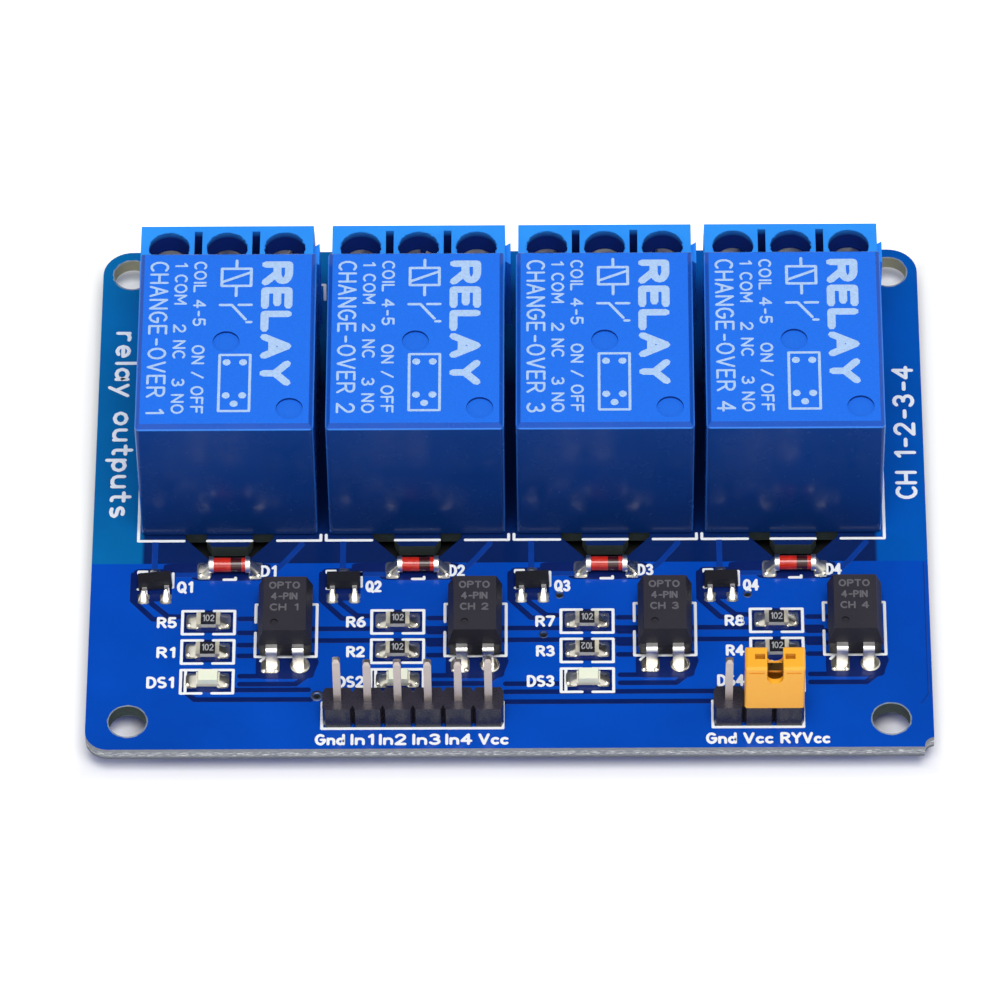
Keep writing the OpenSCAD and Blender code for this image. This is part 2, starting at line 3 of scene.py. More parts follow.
import bpy
import numpy as np
from bpy.props import FloatProperty, FloatVectorProperty, PointerProperty
from mathutils import Matrix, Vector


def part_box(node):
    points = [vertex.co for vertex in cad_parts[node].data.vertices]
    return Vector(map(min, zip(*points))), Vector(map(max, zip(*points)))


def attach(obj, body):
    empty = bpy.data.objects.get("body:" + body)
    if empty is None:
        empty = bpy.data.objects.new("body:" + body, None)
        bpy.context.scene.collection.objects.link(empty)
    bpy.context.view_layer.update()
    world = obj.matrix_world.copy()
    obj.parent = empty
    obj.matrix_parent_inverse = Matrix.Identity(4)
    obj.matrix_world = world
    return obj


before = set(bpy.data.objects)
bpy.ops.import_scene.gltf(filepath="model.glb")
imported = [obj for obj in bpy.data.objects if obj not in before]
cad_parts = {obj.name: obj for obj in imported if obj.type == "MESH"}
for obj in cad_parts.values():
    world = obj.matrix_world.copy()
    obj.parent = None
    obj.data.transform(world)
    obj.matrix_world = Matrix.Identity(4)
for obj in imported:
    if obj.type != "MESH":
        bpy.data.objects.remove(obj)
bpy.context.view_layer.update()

bl_info = {
    "name": "Relay Module Board",
    "version": (1, 0, 0),
    "blender": (4, 5, 0),
    "location": "View3D > Sidebar > Relay board",
    "description": "Finishes, print and solder for a four channel relay module",
    "category": "Object",
}

MM = 0.001


def node_box(name):
    """Lowest and highest corner of a CAD node, in millimetres."""
    low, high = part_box(name)
    return np.array(low) / MM, np.array(high) / MM


BOARD_LOW, BOARD_HIGH = node_box("board")
BOARD_TOP = BOARD_HIGH[2]
RELAY_BOXES = [node_box(f"relay_case_{i}") for i in range(1, 5)]
CHANNELS = [(low[0] + high[0]) / 2 for low, high in RELAY_BOXES]
RELAY_TOP = RELAY_BOXES[0][1][2]
SCREW_BOXES = [node_box(f"terminal_screw_{n}") for n in range(1, 13)]
HOUSING_TOP = node_box("terminal_housing_1")[1][2]
CHIP_ROWS = (-13.68, -16.80, -19.95)
CHIP_X = -1.6
OPTO_X = 5.0
TRANSISTOR_X = -6.26
POUR_EDGE = -7.45
MOUNTING_HOLES = [(s * 32.2, -24.21) for s in (-1, 1)] + [(s * 33.2, 24.61) for s in (-1, 1)]


def ink(code):
    """An sRGB hex colour as the linear values that a shader uses."""
    srgb = np.array([int(code[i : i + 2], 16) for i in (1, 3, 5)]) / 255
    linear = np.where(srgb <= 0.04045, srgb / 12.92, ((srgb + 0.055) / 1.055) ** 2.4)
    return (*map(float, linear), 1.0)


# ---- sizes and colours that a user may change ----


def length(name, description, mm):
    return FloatProperty(
        name=name, description=description, default=mm * MM, min=0.0, precision=5,
        subtype="DISTANCE", unit="LENGTH",
    )


def colour(name, description, code):
    return FloatVectorProperty(
        name=name, description=description, default=ink(code), size=4, min=0.0, max=1.0,
        subtype="COLOR",
    )


class BoardLook(bpy.types.PropertyGroup):
    """Solder mask, copper and board edge"""

    pour: colour("Over copper", "Solder mask where copper lies under it", "#0249b8")
    bare: colour("Over laminate", "Solder mask where no copper lies under it", "#0466a6")
    side: colour("Over laminate, right", "Solder mask without copper along the right side", "#0056b4")
    # painted shade: this dark tone stands for the relays' shadow on the mask in front of them
    shade: colour("By the relays", "Solder mask of the row in front of the relays", "#08235c")
    gap: colour("Between tracks", "Solder mask in the gaps etched between tracks", "#0a2060")
    track: colour("Single tracks", "Solder mask over the narrow tracks in front of the relays", "#0a3a94")
    edge: colour("Edge", "Sawn edge of the glass epoxy board", "#858a95")
    gap_width: length("Gap width", "Width of the gaps etched between copper areas", 0.5)
    track_width: length("Track width", "Width of the narrow tracks", 0.52)


class PrintLook(bpy.types.PropertyGroup):
    """White printing on the board"""

    white: colour("Print", "Screen printing ink on the board", "#f3f6f8")
    line: length("Line width", "Width of printed outlines", 0.26)
    stroke: length("Letter stroke", "Width of the strokes of printed letters", 0.26)
    bold: length("Bold stroke", "Width of the strokes of the large letters along the sides", 0.34)
    thickness: length("Ink thickness", "How far the ink stands above the mask", 0.02)


class RelayLook(bpy.types.PropertyGroup):
    """Relay cases"""

    top: colour("Etched top", "Matt top of the relay cases", "#2071ec")
    # partly painted shade: the sides are set darker than the top, partly for their polish and partly as shade
    side: colour("Polished side", "Polished sides of the relay cases", "#11397f")
    marks: colour("Marks", "Pale marks printed on the cases", "#b4d3fb")


class TerminalLook(bpy.types.PropertyGroup):
    """Screw terminals"""

    body: colour("Housing", "Moulded terminal housings", "#34a0ff")
    screw: colour("Screw", "Nickel plated screws", "#cdc9bf")
    # painted shade for the insides of the wells and slots
    painted_cavity_shade: colour("Cavities", "Walls of the wells and slots, which little light reaches", "#0a2c84")
    flash: length("Rim flash", "Width of the ragged rim left round each well", 0.09)


class DriverLook(bpy.types.PropertyGroup):
    """Optocouplers, diodes, transistors, resistors and lamps"""

    moulding: colour("Moulding", "Black epoxy bodies", "#322f37")
    glass: colour("Diode glass", "Glass of the diodes", "#ea2c10")
    ceramic: colour("Chip", "Glazed top of the resistors", "#1b1c20")
    lens: colour("Lamp", "Milky resin of the lamps", "#fffbe8")
    solder: colour("Solder", "Tin solder", "#e6e2d4")


class HeaderLook(bpy.types.PropertyGroup):
    """Pin headers and jumper"""

    body: colour("Header", "Moulded header strips", "#383540")
    pin: colour("Pin", "Tinned pins", "#cfc4bf")
    jumper: colour("Jumper", "Jumper cap", "#ffba34")


class StageLook(bpy.types.PropertyGroup):
    """Floor, lamps and camera"""

    floor: colour("Floor", "Pale floor", "#f7f7f7")
    azimuth: FloatProperty(name="Azimuth", description="Turn of the camera about the board",
                           default=math.radians(-0.796), subtype="ANGLE")
    elevation: FloatProperty(name="Elevation", description="Height of the camera above the horizon",
                             default=math.radians(51.972), subtype="ANGLE")
    roll: FloatProperty(name="Roll", description="Turn of the camera about its own axis",
                        default=math.radians(-0.870), subtype="ANGLE")
    distance: length("Distance", "From the camera to the board's middle", 711.05)


# ---- surfaces ----


def new_piece(name, points, faces, material, slot, body="module", smooth=True):
    """Makes one mesh piece from points in millimetres and a list of whole arrays of faces."""
    mesh = bpy.data.meshes.new(name)
    every = [row for block in faces for row in block.tolist()]
    mesh.from_pydata((np.asarray(points, float) * MM).tolist(), [], every)
    mesh.validate()
    mesh.polygons.foreach_set("use_smooth", np.full(len(mesh.polygons), smooth))
    mesh.materials.append(material)
    mesh.update()
    piece = bpy.data.objects.new(name, mesh)
    bpy.context.scene.collection.objects.link(piece)
    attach(piece, body)
    return piece


def joined(parts):
    """Several (points, faces) shapes as one."""
    points, faces, start = [], [], 0
    for some, blocks in parts:
        points.append(some)
        faces += [block + start for block in blocks]
        start += len(some)
    return np.concatenate(points), faces


def grid_faces(rows, columns, copies=1, closed=False):
    """Quads of a grid of rows by columns, for a number of copies; closed joins the last column to the first."""
    r, c = np.meshgrid(np.arange(rows - 1), np.arange(columns if closed else columns - 1), indexing="ij")
    n = (c + 1) % columns
    quad = np.stack([r * columns + c, r * columns + n, (r + 1) * columns + n, (r + 1) * columns + c], -1)
    quad = quad.reshape(-1, 4)
    return (quad[None] + (np.arange(copies) * rows * columns)[:, None, None]).reshape(-1, 4)


def strokes(lines, width, base, rise, corners=6):
    """Ink strokes or tracks: round-ended bars along line segments [x0, y0, x1, y1].

    A point at angle a lies at the nearer end of the segment plus half the width
    times the unit vector of a, so the outline is a straight bar with half circles
    at both ends. The outer ring lies at the base, and the inner ring, a little
    narrower, at the base plus the rise, which a flat face closes. Each next stroke
    lies two microns higher, over eight steps, so that crossing strokes don't coincide.
    """
    lines = np.asarray(lines, float).reshape(-1, 4)
    count = len(lines)
    start, stop = lines[:, :2], lines[:, 2:]
    along = np.arctan2(*(stop - start)[:, ::-1].T)
    half = np.linspace(-math.pi / 2, math.pi / 2, corners)
    turn = np.concatenate([half, half + math.pi])[None] + along[:, None]
    ends = np.concatenate([np.repeat(stop[:, None], corners, 1), np.repeat(start[:, None], corners, 1)], 1)
    reach = np.broadcast_to(np.asarray(width, float).reshape(-1, 1) / 2, (count, 2 * corners))
    ring = np.stack([np.cos(turn), np.sin(turn)], -1)
    inner = np.maximum(reach - abs(rise) * 1.2, reach * 0.6)
    flat = np.stack([ends + ring * reach[..., None], ends + ring * inner[..., None]], 1)
    step = 0.002 * math.copysign(1, rise) * (np.arange(count) % 8)[:, None, None, None]
    height = np.broadcast_to(np.array([base, base + rise])[None, :, None, None] + step, (count, 2, 2 * corners, 1))
    points = np.concatenate([flat, height], -1).reshape(-1, 3)
    sides = grid_faces(2, 2 * corners, count, closed=True)
    caps = (np.arange(2 * corners, 4 * corners)[None] + (np.arange(count) * 4 * corners)[:, None])
    if rise < 0:
        return points, [sides[:, ::-1], caps[:, ::-1]]
    return points, [sides, caps]


def chain(points):
    """A run of points as line segments [x0, y0, x1, y1]."""
    points = np.asarray(points, float)
    return np.concatenate([points[:-1], points[1:]], 1)


def per_channel(runs):
    """Runs of points laid out about one channel, as line segments repeated at each channel."""
    shapes = np.concatenate([chain(run) for run in runs])
    places = np.asarray(CHANNELS)
    return (shapes[None] + np.stack([places, places * 0, places, places * 0], -1)[:, None]).reshape(-1, 4)


def domes(centres, halves, base, rise, power=2.0, fall=1.0, rings=5, around=24, turn=0.0):
    """Pads, blobs and cones: at angle a and ring r the point lies at the centre plus
    r times the half sizes times (cos a, sin a), each raised to 2/power, which runs
    from a circle at power 2 to a square; its height is the rise times (1 - r) to
    the fall, a dome for a small fall and a hollow cone for a large one.
    """
    centres = np.asarray(centres, float).reshape(-1, 2)
    halves = np.broadcast_to(np.asarray(halves, float), centres.shape)
    count = len(centres)
    angle = np.linspace(0, 2 * math.pi, around, endpoint=False)
    radius = np.linspace(1, 0.04, rings)
    cos, sin = np.cos(angle), np.sin(angle)
    unit = np.stack([np.sign(cos) * abs(cos) ** (2 / power), np.sign(sin) * abs(sin) ** (2 / power)], -1)
    flat = halves[:, None, None] * unit[None, None] * radius[None, :, None, None]
    turned = np.stack([
        flat[..., 0] * math.cos(turn) - flat[..., 1] * math.sin(turn),
        flat[..., 0] * math.sin(turn) + flat[..., 1] * math.cos(turn)], -1)
    height = base + rise * (1 - radius) ** fall / (1 - radius[-1]) ** fall
    flat = turned + centres[:, None, None]
    height = np.broadcast_to(height[None, :, None, None], (count, rings, around, 1))
    points = np.concatenate([flat, height], -1).reshape(-1, 3)
    sides = grid_faces(rings, around, count, closed=True)
    cap = np.arange((rings - 1) * around, rings * around)
    caps = cap[None] + (np.arange(count) * rings * around)[:, None]
    if rise < 0:
        return points, [sides[:, ::-1], caps[:, ::-1]]
    return points, [sides, caps]


def rings(centres, radius, width, base, rise, around=40, wobble=0.0, seed=1):
    """Flat rings: across the ring the height follows a half sine from one edge to the
    other, and with a wobble the edge that lies the width away wanders as torn flash
    does: the outer edge, or for a negative width the inner one."""
    centres = np.asarray(centres, float).reshape(-1, 2)
    count = len(centres)
    angle = np.linspace(0, 2 * math.pi, around, endpoint=False)
    across = np.linspace(0, 1, 5)
    chance = np.random.default_rng(seed)
    ragged = np.zeros((count, around))
    for wave in range(5, 30):
        size = chance.uniform(0, 1, (count, 1)) / wave**0.4
        ragged += size * np.sin(wave * angle[None] + chance.uniform(0, 7, (count, 1)))
    ragged = 1 + wobble * ragged * chance.uniform(0.2, 1.6, (count, 1))
    r = radius + width * (1 - across)[None, :, None] * ragged[:, None]
    z = base + rise * np.sin(math.pi * across)[None, :, None] * ragged[:, None]
    x = centres[:, 0, None, None] + r * np.cos(angle)
    y = centres[:, 1, None, None] + r * np.sin(angle)
    points = np.stack([x, y, np.broadcast_to(z, x.shape)], -1).reshape(-1, 3)
    faces = grid_faces(5, around, count, closed=True)
    return points, [faces if width > 0 else faces[:, ::-1]]


def fillets(feet, headings, reach, half, rise, base, spread=1.0, steps=7):
    """Solder drawn up an end face. Going out from the part by t from 0 to 1, the
    height is the rise times (1 - t) to the 1.4, and across by s from -1 to 1 it falls
    off by s to the fourth, so the fillet is hollow outwards and round across. Its
    width grows from the spread times the full width at the part to the full width."""
    feet = np.asarray(feet, float).reshape(-1, 2)
    headings = np.asarray(headings, float)
    count = len(feet)
    t = np.linspace(0, 1, steps)[:, None]
    s = np.linspace(-1, 1, steps)[None]
    out = np.broadcast_to(t * reach * (1 - 0.12 * s**4), (steps, steps))
    side = s * half * (1 - 0.12 * t**2) * (spread + (1 - spread) * t**0.8)
    z = base + rise * (1 - t) ** 1.4 * (1 - 0.45 * s**4)
    z = np.where((abs(s) == 1) | (t == 1), base, z)
    cos, sin = np.cos(headings)[:, None, None], np.sin(headings)[:, None, None]
    x = feet[:, 0, None, None] + out * cos - side * sin
    y = feet[:, 1, None, None] + out * sin + side * cos
    points = np.stack([x, y, np.broadcast_to(z, x.shape)], -1).reshape(-1, 3)
    return points, [grid_faces(steps, steps, count)[:, ::-1]]


# ---- letters drawn with straight and round strokes; a capital is one unit high ----


def arc(x, y, rx, ry, first, last, steps=8):
    """Points of an ellipse's arc between two angles in degrees."""
    a = np.radians(np.linspace(first, last, steps))
    return [*zip(x + rx * np.cos(a), y + ry * np.sin(a))]


LETTERS = {
    "0": [arc(0.28, 0.5, 0.28, 0.5, 0, 360, 13)],
    "1": [[(0.1, 0.8), (0.3, 1), (0.3, 0)]],
    "2": [arc(0.28, 0.72, 0.26, 0.28, 170, -40) + [(0, 0), (0.56, 0)]],
    "3": [arc(0.26, 0.75, 0.24, 0.25, 150, -90) + arc(0.26, 0.26, 0.28, 0.26, 90, -150)],
    "4": [[(0.42, 0), (0.42, 1), (0, 0.32), (0.58, 0.32)]],
    "5": [[(0.5, 1), (0.08, 1), (0.04, 0.55)] + arc(0.27, 0.3, 0.28, 0.3, 140, -150)],
    "6": [arc(0.28, 0.3, 0.27, 0.3, 0, 360, 11), arc(0.52, 0.3, 0.51, 0.7, 180, 105)],
    "7": [[(0, 1), (0.55, 1), (0.2, 0)]],
    "8": [arc(0.28, 0.75, 0.23, 0.25, 0, 360, 10), arc(0.28, 0.26, 0.28, 0.26, 0, 360, 10)],
    "-": [[(0.1, 0.45), (0.45, 0.45)]],
    "/": [[(0, 0), (0.45, 1)]],
    "A": [[(0, 0), (0.3, 1), (0.6, 0)], [(0.12, 0.36), (0.48, 0.36)]],
    "C": [arc(0.32, 0.5, 0.32, 0.5, 50, 310, 10)],
    "D": [[(0, 0), (0, 1), (0.22, 1)] + arc(0.22, 0.5, 0.36, 0.5, 80, -80) + [(0.22, 0), (0, 0)]],
    "E": [[(0.5, 1), (0, 1), (0, 0), (0.5, 0)], [(0, 0.52), (0.42, 0.52)]],
    "F": [[(0.5, 1), (0, 1), (0, 0)], [(0, 0.52), (0.42, 0.52)]],
    "G": [arc(0.32, 0.5, 0.32, 0.5, 50, 340, 10) + [(0.63, 0.48), (0.36, 0.48)]],
    "H": [[(0, 0), (0, 1)], [(0, 0.5), (0.55, 0.5)], [(0.55, 0), (0.55, 1)]],
    "I": [[(0.05, 0), (0.05, 1)]],
    "L": [[(0, 1), (0, 0), (0.48, 0)]],
    "M": [[(0, 0), (0, 1), (0.34, 0.3), (0.68, 1), (0.68, 0)]],
    "N": [[(0, 0), (0, 1), (0.56, 0), (0.56, 1)]],
    "O": [arc(0.32, 0.5, 0.32, 0.5, 0, 360, 13)],
    "P": [[(0, 0), (0, 1), (0.28, 1)] + arc(0.28, 0.75, 0.26, 0.25, 80, -80) + [(0.28, 0.5), (0, 0.5)]],
    "Q": [arc(0.32, 0.5, 0.32, 0.5, 0, 360, 13), [(0.4, 0.25), (0.68, -0.08)]],
    "R": [[(0, 0), (0, 1), (0.28, 1)] + arc(0.28, 0.75, 0.26, 0.25, 80, -80) + [(0.28, 0.5), (0, 0.5)],
          [(0.28, 0.5), (0.58, 0)]],
    "S": [arc(0.28, 0.75, 0.26, 0.25, 50, 270) + arc(0.28, 0.25, 0.28, 0.25, 90, -130)],
    "T": [[(0, 1), (0.56, 1)], [(0.28, 1), (0.28, 0)]],
    "V": [[(0, 1), (0.3, 0), (0.6, 1)]],
    "Y": [[(0, 1), (0.3, 0.5), (0.6, 1)], [(0.3, 0.5), (0.3, 0)]],
    "a": [arc(0.22, 0.29, 0.22, 0.29, 0, 360, 9), [(0.45, 0.58), (0.45, 0)]],
    "c": [arc(0.24, 0.3, 0.24, 0.3, 50, 310)],
    "d": [arc(0.22, 0.3, 0.22, 0.3, 0, 360, 9), [(0.45, 1), (0.45, 0)]],
    "e": [[(0.02, 0.3), (0.46, 0.3)] + arc(0.24, 0.3, 0.22, 0.3, 10, 310)],
    "l": [[(0.05, 1), (0.05, 0)]],
    "n": [[(0, 0.6), (0, 0)], arc(0.22, 0.36, 0.22, 0.24, 180, 0, 6) + [(0.44, 0)]],
    "o": [arc(0.24, 0.3, 0.24, 0.3, 0, 360, 9)],
    "p": [[(0, 0.6), (0, -0.3)], arc(0.23, 0.3, 0.22, 0.3, 0, 360, 9)],
    "r": [[(0, 0.6), (0, 0)], arc(0.2, 0.36, 0.2, 0.24, 180, 60, 5)],
    "s": [arc(0.2, 0.45, 0.18, 0.15, 50, 270, 6) + arc(0.2, 0.15, 0.2, 0.15, 90, -130, 6)],
    "t": [[(0.18, 0.9), (0.18, 0.14)] + arc(0.3, 0.14, 0.12, 0.14, 180, 290, 4), [(0, 0.6), (0.36, 0.6)]],
    "u": [[(0, 0.6), (0, 0.24)] + arc(0.22, 0.24, 0.22, 0.24, 180, 360, 6), [(0.44, 0.6), (0.44, 0)]],
    "y": [[(0, 0.6), (0.23, 0.02)], [(0.46, 0.6), (0.1, -0.3)]],
}


def written(text, centre, cap, wide, turn=0.0):
    """Strokes of a word: each letter's points are scaled to the capital height and
    squeezed until the word is as wide as asked, then turned about its middle."""
    lines, edge = [], 0.0
    for letter in text:
        if letter == " ":
            edge += 0.5
            continue
        shapes = [np.array(shape, float) for shape in LETTERS[letter]]
        for shape in shapes:
            lines.append(chain(shape + [edge, 0]))
        edge += max(shape[:, 0].max() for shape in shapes) + 0.26
    lines = np.concatenate(lines).reshape(-1, 2)
    lines = (lines - [(edge - 0.26) / 2, 0.5]) * [wide / (edge - 0.26), cap]
    turned = lines @ np.array([[math.cos(turn), math.sin(turn)], [-math.sin(turn), math.cos(turn)]])
    return (turned + centre).reshape(-1, 4)


# ---- materials ----


def add(kind, inputs, out=0, tree=None, **settings):
    """Adds a node, sets it up, and gives one of its outputs. An input is a value or another node's output,
    and the new node goes into that node's tree where none is named."""
    tree = tree or next(value.id_data for value in inputs.values() if isinstance(value, bpy.types.NodeSocket))
    node = tree.nodes.new(kind)
    for key, value in settings.items():
        setattr(node, key, value)
    for key, value in inputs.items():
        if isinstance(value, bpy.types.NodeSocket):
            tree.links.new(value, node.inputs[key])
        else:
            node.inputs[key].default_value = value
    return node.outputs[out]


def calc(operation, *values):
    """One step of arithmetic."""
    return add("ShaderNodeMath", dict(enumerate(values)), operation=operation)


def apart(first, second):
    """How far two values are apart."""
    return calc("ABSOLUTE", calc("SUBTRACT", first, second))


def ramp(value, start=0.0, stop=1.0, low=0.0, high=1.0, smooth=False):
    """Runs from low to high while the value runs from start to stop."""
    kind = "SMOOTHSTEP" if smooth else "LINEAR"
    return add("ShaderNodeMapRange", {0: value, 1: start, 2: stop, 3: low, 4: high}, interpolation_type=kind)


def blend(share, first, second):
    """Mixes two colours: the first at a share of 0, the second at 1."""
    return add("ShaderNodeMix", {0: share, 6: first, 7: second}, out=2, data_type="RGBA")


def scaled(shade, share):
    """A colour, darker or lighter by a share."""
    return add("ShaderNodeVectorMath", {0: shade, "Scale": share}, operation="SCALE")


def noise(mm, scale, detail, roughness=0.5):
    """Cloudy noise with so many lumps to the millimetre."""
    inputs = {"Vector": mm, "Scale": scale, "Detail": detail, "Roughness": roughness}
    return add("ShaderNodeTexNoise", inputs)


def dented(height, depth, strength):
    """The surface's normal under small dents of a depth in millimetres."""
    return add("ShaderNodeBump", {"Strength": strength, "Distance": depth * MM, "Height": height})


def upward(mm):
    """How far the surface faces up, in the tree of mm: 1 on top, 0 on a wall and -1 below."""
    return add("ShaderNodeSeparateXYZ", {0: add("ShaderNodeNewGeometry", {}, "Normal", mm.id_data)}, out=2)


def feed(shader, name, value):
    """Links a value to one of the shader's inputs."""
    shader.id_data.links.new(value, shader.inputs[name])


def finish(name, **values):
    """A material with its shader's constant values set, and its place in millimetres."""
    material = bpy.data.materials.new(name)
    material.use_nodes = True
    tree = material.node_tree
    shader = tree.nodes["Principled BSDF"]
    for key, value in values.items():
        shader.inputs[key.replace("_", " ")].default_value = value
    where = add("ShaderNodeTexCoord", {}, "Object", tree)
    mm = add("ShaderNodeVectorMath", {0: where, "Scale": 1 / MM}, operation="SCALE")
    return material, shader, mm


def dress(material, *nodes):
    """Gives CAD nodes a material in all their slots."""
    for name in nodes:
        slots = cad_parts[name].material_slots
        for place in slots:
            place.material = material


def plain_metal(name, base, roughness, grit, depth, patches=0.25):
    """A plated or cast metal: fine grit in the surface, and dull patches that change the roughness."""
    material, shader, mm = finish(name, Metallic=1.0, Base_Color=base)
    fine = noise(mm, grit, 3.0)
    broad = noise(mm, grit * 0.15, 2.0)
    feed(shader, "Roughness", ramp(broad, 0.3, 0.7, roughness * (1 - patches), roughness * (1 + patches)))
    feed(shader, "Normal", dented(fine, depth, 0.6))
    return material


def moulded(name, base, dark, roughness, grain, depth, sides=1.0, **values):
    """A moulded plastic: a fine eroded grain from the tool, and flow marks that shift the colour a little.
    Sides below 1 darken the walls as painted shade."""
    material, shader, mm = finish(name, **values)
    broad = noise(mm, 0.35, 3.0)
    mix = blend(broad, base, dark)
    # painted shade: the walls are darker than the top by the share given as sides
    wall = ramp(upward(mm), 0.9, 0.5, 1.0, sides, smooth=True)
    feed(shader, "Base Color", scaled(mix, wall))
    fine = noise(mm, grain, 2.0)
    feed(shader, "Roughness", ramp(fine, 0.3, 0.7, roughness * 0.85, roughness * 1.15))
    feed(shader, "Normal", dented(fine, depth, 0.5))
    return material


def coated_board(look):
    """FR4 glass epoxy with a glossy blue solder mask. The mask is sprayed and cured, so
    it is glossy and slightly wavy; copper under it makes it brighter, and the row in front of
    the relays is painted darker as shade. The sawn edge shows grey epoxy with pale ends of glass
    bundles; the drilled and milled walls are painted dark as shade, and pale at the back as painted light."""
    material, shader, mm = finish("solder_mask_on_fr4", IOR=1.52, Specular_IOR_Level=0.25)
    x, y, z = add("ShaderNodeSeparateXYZ", {0: mm}).node.outputs
    up = upward(mm)
    flat = calc("ABSOLUTE", up)
    flat = calc("GREATER_THAN", flat, 0.5)
    # copper fills the board in front of the diodes
    front = ramp(y, POUR_EDGE + 0.04, POUR_EDGE - 0.04, smooth=True)
    # painted shade: between the side margins, fading out towards the back, the mask takes the dark tone of the
    # relays' shadow
    between = ramp(calc("ABSOLUTE", x), 31.6, 31.2, smooth=True)
    between = calc("MULTIPLY", between, ramp(y, 17.0, 12.0))
    cloud = noise(mm, 0.12, 4.0)
    # the mask over laminate runs from a teal tone at the left to a bluer one at the right
    thick = ramp(x, -20.0, 25.0)
    side = blend(thick, look.bare, look.side)
    # painted shade of the relays laid over the mask without copper
    bare = blend(between, side, look.shade)
    mask = blend(front, bare, look.pour)
    cloud = ramp(cloud, 0.3, 0.7, 0.88, 1.1)
    mask = scaled(mask, cloud)
    # glass bundles cut through at the edge: pale dashes about 1 mm long and 0.06 mm thick
    laid = add("ShaderNodeVectorMath", {0: mm, 1: (0.9, 0.9, 9.0)}, operation="MULTIPLY")
    glass = noise(laid, 1.6, 3.0, 0.6)
    pale = ramp(glass, 0.5, 0.62, smooth=True)
    # the bundles stand out most along the middle of the cut, and the lower third is dark
    deep = apart(z, BOARD_LOW[2] + 0.62)
    deep = ramp(deep, 0.42, 0.12, 0.12, 1.0, smooth=True)
    pale = calc("MULTIPLY", pale, deep)
    edge = blend(pale, look.edge, ink("#eceef0"))
    under = ramp(z, BOARD_LOW[2], BOARD_LOW[2] + 0.4, 0.4, 1.0)
    edge = scaled(edge, under)
    inside_x = calc("LESS_THAN", calc("ABSOLUTE", x), BOARD_HIGH[0] - 0.2)
    inside_y = calc("LESS_THAN", calc("ABSOLUTE", y), BOARD_HIGH[1] - 0.2)
    drilled = calc("MULTIPLY", inside_x, inside_y)
    # the round corners of the outline aren't drilled: there the two distances add up to more
    reach = add("ShaderNodeVectorMath", {0: mm}, operation="ABSOLUTE")
    reach = add("ShaderNodeVectorMath", {0: reach, 1: (1, 1, 0)}, out="Value", operation="DOT_PRODUCT")
    reach = calc("LESS_THAN", reach, BOARD_HIGH[0] + BOARD_HIGH[1] - 2.5)
    drilled = calc("MULTIPLY", drilled, reach)
    # painted shade: the drilled and milled walls are painted dark grey
    wall = blend(glass, ink("#1d2528"), ink("#56625f"))
    # painted light: the back holes stand in the open light, so their walls are painted pale
    painted_back_light = ramp(y, 16.0, 22.0)
    wall = blend(painted_back_light, wall, ink("#a8a68c"))
    edge = blend(drilled, edge, wall)
    feed(shader, "Base Color", blend(flat, edge, mask))
    feed(shader, "Roughness", ramp(flat, low=0.75, high=0.2))
    # the cloth of the laminate shows as faint waves 0.45 mm apart
    weave = noise(mm, 2.2, 2.0)
    height = add("ShaderNodeMix", {0: flat, 2: glass, 3: weave})
    feed(shader, "Normal", dented(height, 0.02, 0.5))
    return material


def mask_tone(name, tone):
    """The same glossy mask in one of its other tones: over etched gaps it looks dark, and over
    single tracks bright."""
    material, shader, mm = finish(name, IOR=1.52, Roughness=0.2, Specular_IOR_Level=0.25)
    cloud = noise(mm, 0.6, 3.0)
    cloud = ramp(cloud, 0.3, 0.7, 0.9, 1.1)
    feed(shader, "Base Color", scaled(tone[:3], cloud))
    weave = noise(mm, 2.2, 2.0)
    feed(shader, "Normal", dented(weave, 0.02, 0.5))
    return material


def screen_ink(name, tone, cover):
    """Screen printed epoxy ink: pressed through a mesh, so it is matt and slightly uneven."""
    material, shader, mm = finish(name, IOR=1.5)
    grain = noise(mm, 5.0, 3.0)
    thin = ramp(grain, 0.3, 0.7, cover, 1.0)
    feed(shader, "Base Color", scaled(tone[:3], thin))
    feed(shader, "Roughness", ramp(grain, low=0.45, high=0.7))
    return material


